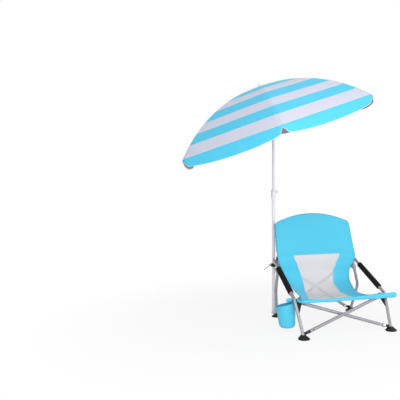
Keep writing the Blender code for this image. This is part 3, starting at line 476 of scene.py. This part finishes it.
def turned(name, profile, centre, sides, looks, warp):
    """A turned cloth form about a vertical axis, closed at its first row. warp makes it uneven."""
    bm = bmesh.new()
    layer = bm.loops.layers.uv.new("cut")
    rings = []
    for row, (radius, height) in enumerate(profile):
        ring = []
        for step in range(sides):
            angle = math.tau * step / sides
            out = radius * (1.0 + warp(angle, row / (len(profile) - 1)))
            shift = Vector((out * math.cos(angle), out * math.sin(angle), height))
            ring.append(bm.verts.new(centre + shift))
        rings.append(ring)
    for row, (low, high) in enumerate(zip(rings, rings[1:])):
        for step in range(sides):
            other = (step + 1) % sides
            face = bm.faces.new((low[step], low[other], high[other], high[step]))
            face.smooth = True
            corners = ((step, row), (step + 1, row), (step + 1, row + 1), (step, row + 1))
            for loop, (across, along) in zip(face.loops, corners):
                loop[layer].uv = (across / sides, along / (len(profile) - 1))
    bm.faces.new(list(reversed(rings[0])))
    bmesh.ops.recalc_face_normals(bm, faces=bm.faces)
    return link(name, bm, looks)


# Sling
def smooth_row(share):
    """The sling's row at a share of the way down, on a smooth curve through the rows above."""
    rows = SLING_ROW_SHARES
    place = share * (len(rows) - 1)
    index = min(int(place), len(rows) - 2)
    part = place - index
    before = rows[max(index - 1, 0)]
    after = rows[min(index + 2, len(rows) - 1)]
    result = []
    for p0, p1, p2, p3 in zip(before, rows[index], rows[index + 1], after):
        result.append((2 * p1 + (p2 - p0) * part + (2 * p0 - 5 * p1 + 4 * p2 - p3) * part**2
                       + (3 * p1 - p0 - 3 * p2 + p3) * part**3) / 2)
    return result


def sling_point(share, across, lift=0.0):
    """across runs from -1 to +1. lift raises the point off the cloth, along its outward side."""
    edge_y, edge_z, half, middle_y, middle_z = smooth_row(share)
    bow = across * across
    y = (edge_y * bow + middle_y * (1 - bow)) * FRAME_DEPTH
    z = (edge_z * bow + middle_z * (1 - bow)) * BACK_HEIGHT
    place = chair(across * half * SEAT_HALF, y, z)
    if lift:
        step = 0.004
        along = sling_point(min(share + step, 1.0), across) - sling_point(max(share - step, 0.0), across)
        wide = sling_point(share, across + step) - sling_point(share, across - step)
        place += along.cross(wide).normalized() * lift
    return place


def crease(share, across):
    """Low soft folds of cloth under tension."""
    across_fade = 1 - across * across
    low_back = math.exp(-((share - 0.30) / 0.055) ** 2)
    folds = 0.0003 * low_back * across_fade * math.sin(share * 190 + 2.4 * across)
    corner = math.exp(-((share - 0.93) / 0.09) ** 2)
    folds += 0.0011 * corner * across**2 * math.sin(30 * across + 26 * share)
    back = math.exp(-((share - 0.12) / 0.12) ** 2)
    return folds + 0.0007 * back * across_fade * math.sin(9 * across + 31 * share)


MESH_TOP = 0.188
MESH_LOW = 0.970
# Half the open mesh's width, as a share of the cloth's, at shares of the way down
MESH_EDGE_SHARES = ((0.0, 0.64), (0.188, 0.60), (0.30, 0.53), (0.40, 0.50), (0.50, 0.50), (0.60, 0.585),
                    (0.70, 0.69), (0.80, 0.78), (1.0, 0.86))


def mesh_edge(share):
    """How far across the open mesh reaches at a share of the way down."""
    for (low, first), (high, second) in zip(MESH_EDGE_SHARES, MESH_EDGE_SHARES[1:]):
        if share <= high:
            part = (share - low) / (high - low)
            return first + (second - first) * part * part * (3 - 2 * part)
    return MESH_EDGE_SHARES[-1][1]


SLING_ROWS = 132
BAND_COLUMNS = 12
PANEL_COLUMNS = 28
SLING_COLUMNS = 2 * BAND_COLUMNS + PANEL_COLUMNS
CORNER_R = 0.024
SLING_LENGTH = 1.15
CLOTH_THICK = 0.0016
EDGE_PIPING_R = 0.0022
TOP_PIPING_R = 0.0024
PANEL_PIPING_R = 0.0016
PANEL_SIDE_LIFT = 0.0006
PANEL_TOP_LIFT = 0.0008


def sling_columns(share):
    """Places across the cloth: a band, the panel and a band, which follow the panel's edge."""
    edge = mesh_edge(share)
    places = [-1 + (1 - edge) * c / BAND_COLUMNS for c in range(BAND_COLUMNS)]
    places += [-edge + 2 * edge * c / PANEL_COLUMNS for c in range(PANEL_COLUMNS)]
    places += [edge + (1 - edge) * c / BAND_COLUMNS for c in range(BAND_COLUMNS + 1)]
    return places


def rounded_share(share, across):
    """Moves a share down near the two top corners, so that these are round."""
    near = min((1 - abs(across)) * SEAT_HALF / CORNER_R, 1.0)
    cut = CORNER_R / SLING_LENGTH * (1 - math.sqrt(1 - (1 - near) ** 2))
    return cut + share * (1 - cut)


def sling_place(r, c):
    across = sling_columns(r)[round(c * SLING_COLUMNS)]
    return sling_point(rounded_share(r, across), across, crease(r, across))


def sling_cut(r, c):
    return (sling_columns(r)[round(c * SLING_COLUMNS)] / 2 + 0.5, r)


def sling_look(r, c):
    column = c * SLING_COLUMNS
    inside = BAND_COLUMNS < column < BAND_COLUMNS + PANEL_COLUMNS
    return 1 if inside and MESH_TOP < r < MESH_LOW else 0


# The first two are the outer side's, the last two the inner side's
sling_looks = ["stitched", "mesh", "under", "mesh"]
sling = surface("sling_cloth", SLING_ROWS, SLING_COLUMNS, sling_place, sling_looks, sling_cut, sling_look)
thicken(sling, CLOTH_THICK, 0.0, 2)
soft_pieces = [sling]


def shares_between(first, last, count):
    return [first + (last - first) * step / (count - 1) for step in range(count)]


for word, side in (("left", -1), ("right", 1)):
    edge_line = [sling_point(r, side * 0.999) for r in shares_between(0.022, 0.985, 90)]
    soft_pieces.append(tube_mesh("edge_piping_" + word, edge_line, EDGE_PIPING_R, "piping", 6))
    panel_shares = shares_between(MESH_TOP, MESH_LOW, 70)
    panel_line = [sling_point(r, side * mesh_edge(r), PANEL_SIDE_LIFT) for r in panel_shares]
    soft_pieces.append(tube_mesh("panel_piping_" + word, panel_line, PANEL_PIPING_R, "blue", 6))
top_line = [sling_point(rounded_share(0.0, a), a) for a in shares_between(-0.999, 0.999, 120)]
soft_pieces.append(tube_mesh("top_piping", top_line, TOP_PIPING_R, "piping", 6))
panel_half = mesh_edge(MESH_TOP)
panel_top = [sling_point(MESH_TOP, a, PANEL_TOP_LIFT) for a in shares_between(-panel_half, panel_half, 40)]
soft_pieces.append(tube_mesh("panel_top_piping", panel_top, PANEL_PIPING_R, "pale_piping", 6))

# The front edge is a wide padded hem that reaches past the legs on both sides. It passes in front of
# the right leg and behind the left one.
HEM_LEFT = -0.334
HEM_RIGHT = 0.352
HEM_Y = -0.190
HEM_Z = 0.194
HEM_SAG = 0.005
HEM_TURN_X = -0.238
HEM_TURN_LENGTH = 0.062
HEM_TURN_BACK = 0.066
HEM_BOW = 0.004
HEM_R = 0.0088
HEM_RIGHT_GROWTH = 0.0078
HEM_LEFT_GROWTH = 0.0028
HEM_END_ROUND = 0.014
HEM_FLAT = 0.62


def hem_path(count):
    """From left to right; the left end turns back behind the leg."""
    points = []
    for x in shares_between(HEM_LEFT, HEM_RIGHT, count):
        across = x / HEM_RIGHT
        turn = min(max((HEM_TURN_X - x) / HEM_TURN_LENGTH, 0.0), 1.0)
        back = HEM_TURN_BACK * turn * turn * (3 - 2 * turn)
        sag = HEM_SAG * (1 - across * across)
        points.append(chair(x, HEM_Y + back + HEM_BOW * (1 - across**2), HEM_Z - sag))
    return points


def hem_radius(share):
    """Thicker towards both ends, with rounded ends and slight puckers."""
    near = min(share, 1 - share) * (HEM_RIGHT - HEM_LEFT)
    end = math.sqrt(max(0.06, min(1.0, 1 - (1 - min(near / HEM_END_ROUND, 1.0)) ** 2)))
    to_right = max(0.0, (share - 0.40) / 0.60) ** 1.2
    to_left = max(0.0, (0.3 - share) / 0.3)
    full = HEM_R + HEM_RIGHT_GROWTH * to_right + HEM_LEFT_GROWTH * to_left
    return full * end + 0.0005 * math.sin(share * 60) * end


soft_pieces.append(tube_mesh("front_hem", hem_path(120), hem_radius, "blue", 16, HEM_FLAT))

SLEEVE_START = 0.30
SLEEVE_R = 0.0122


# Sleeves of the back round the uprights
def sleeve(name, side):
    start = UPRIGHT_JOINT.lerp(BACK_TOP, SLEEVE_START)
    path = []
    for share in shares_between(0.0, 1.0, 24):
        point = start.lerp(BACK_TOP, share)
        path.append(chair(point.x * side, point.y, point.z))

    def size(share):
        closing = min(1.0, (1 - share) * 14)
        return SLEEVE_R + 0.0006 * math.sin(share * 40 + side) - 0.0035 * (1 - closing) ** 2

    return tube_mesh(name, path, size, "blue", 16)


sleeve_left = sleeve("back_sleeve_left", -1)
sleeve_right = sleeve("back_sleeve_right", 1)
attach(sleeve_left, "left_frame")
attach(sleeve_right, "right_frame")

for piece in soft_pieces:
    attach(piece, "left_frame")
    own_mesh(piece)
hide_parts("sling")


# Cup holder
def cup_warp(angle, height):
    """Soft vertical folds, deepest near the rim, as a share of the radius."""
    folds = 0.020 * math.sin(3 * angle + 0.6) * (0.4 + height) + 0.010 * math.sin(7 * angle + 5 * height)
    return folds * (0.35 + 0.65 * min(1.0, (1 - height) * 6))


CUP_TILT = 0.011
CUP_LEAN = 0.009
CUP_WIDE_SHARE = 1.09
CUP_SHIFT = 0.005
CUP_SWAY = 0.012
CUP_ROWS = 32
CUP_SIDES = 64
CUP_INSET = 0.0012
CUP_LOW_ROUND = 0.008
CUP_WAIST = 0.0016
CUP_RIM_R = 0.0030
CUP_RIM_FLAT = 0.55
CUP_RIM_DROP = 0.003
CUP_RIM_STEPS = 56


def cup_slant(place):
    """The rim sinks on the side away from the arm and at the back, and the cloth below ever less."""
    share = (place.z - CUP.z + CUP_DEPTH) / CUP_DEPTH
    place.z += CUP_TILT * (place.x - CUP.x - CUP_TOP_R) / CUP_TOP_R * share * share
    place.z -= CUP_LEAN * (place.y - CUP.y) / CUP_TOP_R * share * share
    place.x = CUP.x + CUP_SHIFT + CUP_SWAY * (1 - share) + (place.x - CUP.x) * CUP_WIDE_SHARE
    return place


cup_rows = []
for share in shares_between(0.0, 1.0, CUP_ROWS + 1):
    radius = CUP_LOW_R + (CUP_TOP_R - CUP_LOW_R) * share
    radius -= CUP_LOW_ROUND * (1 - min(1.0, share * 8)) ** 2
    radius -= CUP_WAIST * math.exp(-((share - 0.62) / 0.10) ** 2)
    height = CUP_INSET - CUP_DEPTH + share * (CUP_DEPTH - CUP_INSET)
    cup_rows.append((radius - CUP_INSET, height))
# The inside wall takes the darker blue of the piping: painted shade inside the cup.
cup = turned("cup_cloth", cup_rows, CUP, CUP_SIDES, ["blue", "piping"], cup_warp)
for vertex in cup.data.vertices:
    vertex.co = cup_slant(vertex.co)
thicken(cup, CLOTH_THICK, 0.0, 1)
rim_points = []
for step in range(CUP_RIM_STEPS + 1):
    angle = math.tau * step / CUP_RIM_STEPS
    out = (CUP_TOP_R - CLOTH_THICK / 2) * (1 + cup_warp(angle, 1.0))
    shift = Vector((out * math.cos(angle), out * math.sin(angle), -CUP_RIM_DROP))
    rim_points.append(cup_slant(CUP + shift))
cup_rim = tube_mesh("cup_rim_binding", rim_points, CUP_RIM_R, "piping", 8, CUP_RIM_FLAT)
for piece in (cup, cup_rim):
    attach(piece, "left_frame")
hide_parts("cup_holder")

# Canopy
HEAD_UP = -Vector(JOINTS["canopy_close"]["axis"]).normalized()
HEAD_SIDE = Vector((0.0, 1.0, 0.0)).cross(HEAD_UP)
HEAD_TOP = Vector(JOINTS["canopy_tilt"]["pos_m"]) + HEAD_UP * HEAD_TOP_REACH


def head_direction(angle):
    return HEAD_SIDE * math.sin(angle) - Vector((0.0, 1.0, 0.0)) * math.cos(angle)


def rib_angle(index):
    return RIB_PHASE + index * math.tau / RIBS


DOME_ROWS = 44
HEM_ROWS = 7
CANOPY_ROWS = DOME_ROWS + HEM_ROWS
SECTOR_COLUMNS = 28
CANOPY_THICK = 0.0012
VALANCE_BINDING_R = 0.0016
VALANCE_WAVE = 0.003
VALANCE_MAP_SHARE = 0.09


def canopy_share(place):
    """The share of the way from the crown to the rim at a row."""
    least = HOLE_R / RIM_R
    return least + (1 - least) * min(place / DOME_ROWS, 1.0)


def canopy_place(index, r, c):
    """A point of the sector round one rib: c runs from mid-gore to mid-gore."""
    place = r * CANOPY_ROWS
    share = canopy_share(place)
    gore = math.tau / RIBS
    angle = rib_angle(index) + (c - 0.5) * gore
    across = (c + 0.5) % 1.0
    off_middle = (across - 0.5) * gore
    chord = math.cos(gore / 2) / math.cos(off_middle)
    bend = ARC_HALF * share
    blend = min(share * 3, 1.0)
    radius = ARC_R * math.sin(bend) * (1 + (chord - 1) * blend)
    drop = ARC_R * (1 - math.cos(bend))
    swell = math.sin(math.pi * across) if 0.0 < across < 1.0 else 0.0
    if place > DOME_ROWS:
        hang = (place - DOME_ROWS) / HEM_ROWS
        edge = VALANCE_LEAST + (VALANCE - VALANCE_LEAST) * swell**VALANCE_POWER
        drop += hang * edge
        radius += VALANCE_WAVE * hang * swell * math.sin(angle * 24)
    return HEAD_TOP + head_direction(angle) * radius - HEAD_UP * drop


def canopy_cut(r, c):
    place = r * CANOPY_ROWS
    if place <= DOME_ROWS:
        return (c, canopy_share(place) * 0.999)
    return (c, 1.0 + VALANCE_MAP_SHARE * (place - DOME_ROWS) / HEM_ROWS)


# The cloth of one rib gathers less near the crown than at the rim when the umbrella closes, so it has
# three parts: first row, last row, the share of its width that is left when closed, and its flat cut's
# width and length.
CANOPY_PARTS = (
    (0, 13, 0.50, (0.26, 0.23)),
    (13, 28, 0.33, (0.54, 0.27)),
    (28, CANOPY_ROWS, 0.19, (0.80, 0.35)),
)


def canopy_part(name, index, first, last):
    """The cloth of one rib between two rows, striped outside and silver inside."""
    def row(r):
        return (first + r * (last - first)) / CANOPY_ROWS

    part = surface(
        name,
        last - first,
        SECTOR_COLUMNS,
        lambda r, c: canopy_place(index, row(r), c),
        ["stripes", "silver"],
        lambda r, c: canopy_cut(row(r), c),
    )
    if part.data.polygons[0].normal.dot(HEAD_UP) < 0:
        part.data.flip_normals()
    return part


for index in range(RIBS):
    rib = "rib_%d" % (index + 1)
    edge = [canopy_place(index, 1.0, c) for c in shares_between(0.0, 1.0, SECTOR_COLUMNS + 1)]
    binding = tube_mesh("valance_hem_%d" % (index + 1), edge, VALANCE_BINDING_R, "hem", 6)
    for number, (first, last, keep, flat) in enumerate(CANOPY_PARTS):
        part = canopy_part("canopy_sector_%d_%d" % (index + 1, number + 1), index, first, last)
        thicken(part, CANOPY_THICK, -1.0, 1)
        sewn = [binding] if last == CANOPY_ROWS else []
        for piece in [part] + sewn:
            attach(piece, rib)
            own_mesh(piece)
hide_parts("canopy")


# Triangular plates behind the front legs, which carry the upper ends of the front cross bars
HUB = Vector((0.2920, -0.1493, 0.2001))
FRONT_FOOT = Vector((0.2741, -0.2632, 0.0))
BRACKET_Z = 0.1851
PLATE_HALF = 0.0008
PLATE_BEVEL = 0.0005
BOSS_REACH = 0.0081
BOSS_R = 0.0098
BOSS_INSET = 0.0307
BOSS_FIRST = 0.0031
# A pin's steps: how far from the middle plane of the two bars, and its radius there
PIN_REACHES = (0.0070, 0.0129, 0.0130, 0.0146, 0.0149)
PIN_RADII = (0.0028, 0.0028, 0.0088, 0.0092, 0.0086)
# The plate's corners: how far inward of the leg's middle line, and how far up along the leg
PLATE_CORNERS = ((0.003, 0.018), (0.040, 0.018), (0.043, 0.012), (0.043, -0.004), (0.038, -0.014),
                 (0.014, -0.060), (0.010, -0.066), (0.003, -0.066))
FRONT_NORMAL = Vector(JOINTS["fold"]["axis"]).normalized()
if FRONT_NORMAL.y > 0:
    FRONT_NORMAL = -FRONT_NORMAL


def at_side(place, side):
    return Vector((place.x * side, place.y, place.z))


def bracket_root(side):
    """The place on the leg beside the bar's upper end, with the ways inward and up along the leg."""
    hub = at_side(HUB, side)
    foot = at_side(FRONT_FOOT, side)
    up = (hub - foot).normalized()
    return CHAIR + foot.lerp(hub, BRACKET_Z / HUB.z), FRONT_NORMAL.cross(up) * side, up


def boss(name, pivot, normal, layer, first=0.0):
    """A round spacer between a plate and a bar's end. layer is the bar's side: +1 front, -1 rear."""
    path = [pivot + normal * (layer * reach) for reach in (first, (first + BOSS_REACH) / 2, BOSS_REACH)]
    return tube_mesh(name, path, BOSS_R, "black", 24)


def headed_pin(name, pivot, normal, layer):
    """The pin through a bar's lower end, with its head."""
    path = [pivot + normal * (layer * reach) for reach in PIN_REACHES]
    return tube_mesh(name, path, lambda share: PIN_RADII[round(share * (len(PIN_RADII) - 1))], "black", 20)


def bracket_plate(name, side):
    """A thin plate in the middle plane of the two front bars."""
    root, inward, up = bracket_root(side)
    bm = bmesh.new()
    rings = []
    for depth in (-PLATE_HALF, PLATE_HALF):
        shift = FRONT_NORMAL * depth
        rings.append([bm.verts.new(root + shift + inward * u + up * v) for u, v in PLATE_CORNERS])
    count = len(PLATE_CORNERS)
    for step in range(count):
        other = (step + 1) % count
        bm.faces.new((rings[0][step], rings[0][other], rings[1][other], rings[1][step]))
    bm.faces.new(rings[0])
    bm.faces.new(rings[1])
    bmesh.ops.recalc_face_normals(bm, faces=bm.faces)
    plate = link(name, bm, ["black"])
    soft_edge = plate.modifiers.new("edges", "BEVEL")
    soft_edge.width = PLATE_BEVEL
    soft_edge.segments = 2
    return plate


# Foam grips on the arms
ARM_JOINT = Vector((0.2823, 0.2338, 0.3550))
ARM_DIRECTION = Vector((-0.0236, 0.9269, 0.3746)).normalized()
GRIP_NEAR = 0.062
GRIP_FAR = 0.347
GRIP_R = 0.0170
GRIP_ROUND = 0.006


def grip_radius(share):
    """Rounded at both ends, a little uneven between."""
    end = min(share, 1 - share) * (GRIP_FAR - GRIP_NEAR)
    rest = max(0.0, 1 - end / GRIP_ROUND)
    return GRIP_R - GRIP_ROUND * (1 - math.sqrt(max(0.0, 1 - rest * rest))) + 0.0002 * math.sin(share * 70)


def foam_grip(name, side):
    near = at_side(ARM_JOINT - ARM_DIRECTION * GRIP_FAR, side) + CHAIR
    far = at_side(ARM_JOINT - ARM_DIRECTION * GRIP_NEAR, side) + CHAIR
    ends = [0.0, 0.002, 0.006, 0.012, 0.022]
    shares = ends + shares_between(0.06, 0.94, 24) + [1 - share for share in reversed(ends)]
    path = [near.lerp(far, share) for share in shares]
    sizes = [grip_radius(share) for share in shares]
    return tube_mesh(name, path, lambda place: sizes[round(place * (len(sizes) - 1))], "foam", 24)


for word, side, layer in (("left", -1, -1), ("right", 1, 1)):
    root, inward, up = bracket_root(side)
    pivot = root + inward * BOSS_INSET
    for piece, node_name, slot in (
        (bracket_plate("front_plate_" + word, side), word + "_front_bracket", "black_plastic"),
        (boss("front_boss_" + word, pivot, FRONT_NORMAL, layer), None, "black_plastic"),
        (foam_grip("arm_foam_" + word, side), word + "_grip", "foam"),
    ):
        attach(piece, word + "_frame")
        if node_name:
            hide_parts(node_name)

# Feet: a low dome that leans with the leg, and a lug with a round end beside the bar's lower end
REAR_FOOT = Vector((0.2640, 0.2718, 0.0))
FRONT_LOW = Vector((0.2421, -0.2450, 0.0320))
REAR_NORMAL = Vector(JOINTS["rear_fold"]["axis"]).normalized()
if REAR_NORMAL.y > 0:
    REAR_NORMAL = -REAR_NORMAL
REAR_LOW = Vector(JOINTS["rear_fold"]["pos_m"]) - CHAIR
REAR_LOW.x = abs(REAR_LOW.x)
REAR_KNEE = Vector((0.2901, 0.2108, 0.1897))
REAR_UP = (REAR_KNEE - REAR_FOOT).normalized()
FRONT_UP = (HUB - FRONT_FOOT).normalized()
# A dome's radius and height, from the floor up
FOOT_PROFILE = ((0.0335, 0.0000), (0.0340, 0.0030), (0.0315, 0.0060), (0.0265, 0.0100), (0.0210, 0.0145),
                (0.0170, 0.0185), (0.0145, 0.0210), (0.0125, 0.0222), (0.0100, 0.0224))
DOME_SIDES = 40
LUG_MIDDLE = 0.0056
LUG_HALF_THICK = 0.0024
LUG_WIDE_SHARE = 3.4
LUG_START_SHARE = 0.7


def foot_dome(name, place, rise):
    """Level rings whose middles follow the leg."""
    bm = bmesh.new()
    turns = [math.tau * k / DOME_SIDES for k in range(DOME_SIDES)]
    rings = []
    for radius, height in FOOT_PROFILE:
        centre = place + rise * (height / rise.z)
        rings.append([bm.verts.new(centre + Vector((radius * math.cos(turn), radius * math.sin(turn), 0.0)))
                      for turn in turns])
    for low, high in zip(rings, rings[1:]):
        for k in range(DOME_SIDES):
            other = (k + 1) % DOME_SIDES
            bm.faces.new((low[k], low[other], high[other], high[k])).smooth = True
    bm.faces.new(list(reversed(rings[0])))
    bm.faces.new(rings[-1])
    return link(name, bm, ["black"])


for word, side, layer in (("left", -1, 1), ("right", 1, -1)):
    for end, foot, rise, pivot, normal in (
        ("front", FRONT_FOOT, FRONT_UP, FRONT_LOW, FRONT_NORMAL),
        ("rear", REAR_FOOT, REAR_UP, REAR_LOW, REAR_NORMAL),
    ):
        base = at_side(foot, side) + CHAIR
        lean = at_side(rise, side)
        turn = at_side(pivot, side) + CHAIR
        shift = normal * (layer * LUG_MIDDLE)
        start = base + lean * (pivot.z * LUG_START_SHARE / lean.z) + shift
        lug_path = [start, (start + turn + shift) / 2, turn + shift]
        place = end + "_" + word
        dome = foot_dome("foot_dome_" + place, base, lean)
        lug = tube_mesh("foot_lug_" + place, lug_path, LUG_HALF_THICK, "black", 20, LUG_WIDE_SHARE, normal)
        spacer = boss("foot_boss_" + place, turn, normal, layer, BOSS_FIRST)
        pin = headed_pin("foot_pin_" + place, turn, normal, layer)
        for piece in (dome, lug, spacer, pin):
            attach(piece, word + "_frame")
        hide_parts("%s_%s_foot" % (word, end))

# Bright rivet heads on the feet, where the cross bars turn
right_front = Vector(JOINTS["right_frame_swing"]["pos_m"])
left_rear = Vector(JOINTS["rear_fold"]["pos_m"])
right_rear = Vector((2 * CHAIR.x - left_rear.x, left_rear.y, left_rear.z))
RIVET_CAPS = (
    ("right_front_rivet_cap", right_front, FRONT_NORMAL, -0.0032, "right_frame"),
    ("right_rear_rivet_cap", right_rear, REAR_NORMAL, -0.0032, "right_frame"),
    ("left_rear_rivet_cap", left_rear, REAR_NORMAL, 0.0148, "left_frame"),
)
CAP_HEIGHTS = (0.0, 0.0016, 0.0024, 0.0030)
CAP_RADII = (0.0102, 0.0102, 0.0078, 0.0036)
for name, place, normal, lift, body in RIVET_CAPS:
    dome = [place + normal * (lift + height) for height in CAP_HEIGHTS]
    cap = tube_mesh(name, dome, lambda share: CAP_RADII[round(share * 3)], "rivet", 20)
    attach(cap, body)

# Floor, light and camera
FLOOR_HALF = 14.0
FLOOR_Z = -0.0005
FLOOR_COLOUR = (0.86, 0.86, 0.87, 1.0)
# The floor's fade to white: from this distance to that one, and the share of white at each
FADE = (0.5, 1.7, 0.86, 1.0)
PLAIN_WHITE = (1.0, 1.0, 1.0, 1.0)
WORLD_COLOUR = (0.95, 0.97, 1.0, 1.0)
WORLD_STRENGTH = 0.42


def white_rays(tree):
    """1 for the rays that see the background plain white, 0 for those that light the object."""
    path = node(tree, "ShaderNodeLightPath")
    seen = math_node(tree, "MAXIMUM", path.outputs["Is Camera Ray"], path.outputs["Is Glossy Ray"])
    return math_node(tree, "MAXIMUM", seen, path.outputs["Is Transmission Ray"])


def stage_material(name, colour):
    """A pale floor that fades to plain white away from the chair, and keeps the chair's shadow."""
    material, tree, shader = new_material(name)
    shader.inputs["Base Color"].default_value = colour
    shader.inputs["Roughness"].default_value = 0.9
    coord = node(tree, "ShaderNodeTexCoord")
    length = node(tree, "ShaderNodeVectorMath", operation="LENGTH")
    tree.links.new(coord.outputs["Object"], length.inputs[0])
    far = node(tree, "ShaderNodeMapRange", interpolation_type="SMOOTHSTEP")
    for index, value in enumerate(FADE):
        far.inputs[index + 1].default_value = value
    tree.links.new(length.outputs["Value"], far.inputs[0])
    glow = node(tree, "ShaderNodeEmission")
    glow.inputs["Strength"].default_value = 1.0
    mixed = node(tree, "ShaderNodeMixShader")
    tree.links.new(math_node(tree, "MULTIPLY", white_rays(tree), far.outputs[0]), mixed.inputs[0])
    tree.links.new(shader.outputs[0], mixed.inputs[1])
    tree.links.new(glow.outputs[0], mixed.inputs[2])
    tree.links.new(mixed.outputs[0], tree.nodes["Material Output"].inputs["Surface"])
    return material


def floor_plane(name, half, height):
    bm = bmesh.new()
    for x, y in ((-half, -half), (half, -half), (half, half), (-half, half)):
        bm.verts.new((x, y, height))
    bm.faces.new(bm.verts)
    mesh = bpy.data.meshes.new(name)
    bm.to_mesh(mesh)
    bm.free()
    obj = bpy.data.objects.new(name, mesh)
    bpy.context.scene.collection.objects.link(obj)
    mesh.materials.append(stage_material(name + "_paint", FLOOR_COLOUR))
    return obj


floor_plane("floor", FLOOR_HALF, FLOOR_Z)

world = bpy.data.worlds.new("studio")
bpy.context.scene.world = world
world.use_nodes = True
tree = world.node_tree
background = tree.nodes["Background"]
background.inputs["Color"].default_value = WORLD_COLOUR
background.inputs["Strength"].default_value = WORLD_STRENGTH
white = node(tree, "ShaderNodeBackground")
white.inputs["Color"].default_value = PLAIN_WHITE
white.inputs["Strength"].default_value = 1.0
mixed = node(tree, "ShaderNodeMixShader")
tree.links.new(white_rays(tree), mixed.inputs[0])
tree.links.new(background.outputs[0], mixed.inputs[1])
tree.links.new(white.outputs[0], mixed.inputs[2])
tree.links.new(mixed.outputs[0], tree.nodes["World Output"].inputs["Surface"])


# Name, place, width in metres, power in watts
LAMPS = (
    ("key", (-1.6, -3.2, 3.4), 2.4, 52.0),
    ("fill", (3.0, -2.4, 2.0), 2.6, 30.0),
    ("top", (0.0, 0.4, 3.8), 2.6, 13.0),
    ("low_fill", (-0.2, -3.4, 0.5), 2.0, 50.0),
)
LAMP_TARGET = chair(-0.25, 0.0, 0.7)
for name, place, size, power in LAMPS:
    data = bpy.data.lights.new(name, "AREA")
    data.shape = "SQUARE"
    data.size = size
    data.energy = power
    lamp = bpy.data.objects.new(name, data)
    bpy.context.scene.collection.objects.link(lamp)
    lamp.location = place
    lamp.rotation_euler = (LAMP_TARGET - Vector(place)).to_track_quat("-Z", "Y").to_euler()

# The focal length is in pixels of a picture that is PICTURE_PIXELS wide
FOCAL = 517.1
PICTURE_PIXELS = 400.0
SENSOR_WIDTH = 36.0
CAMERA_SHIFT = (-0.2225, 0.020)
AZIMUTH = math.radians(-18.917)
ELEVATION = math.radians(2.260)
DISTANCE = 3.096
TARGET = chair(-0.2732, 0.0, 0.7205)
camera_data = bpy.data.cameras.new("camera")
camera = bpy.data.objects.new("camera", camera_data)
bpy.context.scene.collection.objects.link(camera)
direction = Vector((
    math.sin(AZIMUTH) * math.cos(ELEVATION),
    -math.cos(AZIMUTH) * math.cos(ELEVATION),
    math.sin(ELEVATION),
))
camera.location = TARGET + direction * DISTANCE
camera.rotation_euler = (-direction).to_track_quat("-Z", "Y").to_euler()
camera_data.sensor_width = SENSOR_WIDTH
camera_data.lens = SENSOR_WIDTH * FOCAL / PICTURE_PIXELS
camera_data.shift_x, camera_data.shift_y = CAMERA_SHIFT
bpy.context.scene.camera = camera
bpy.context.scene.view_settings.view_transform = "Standard"
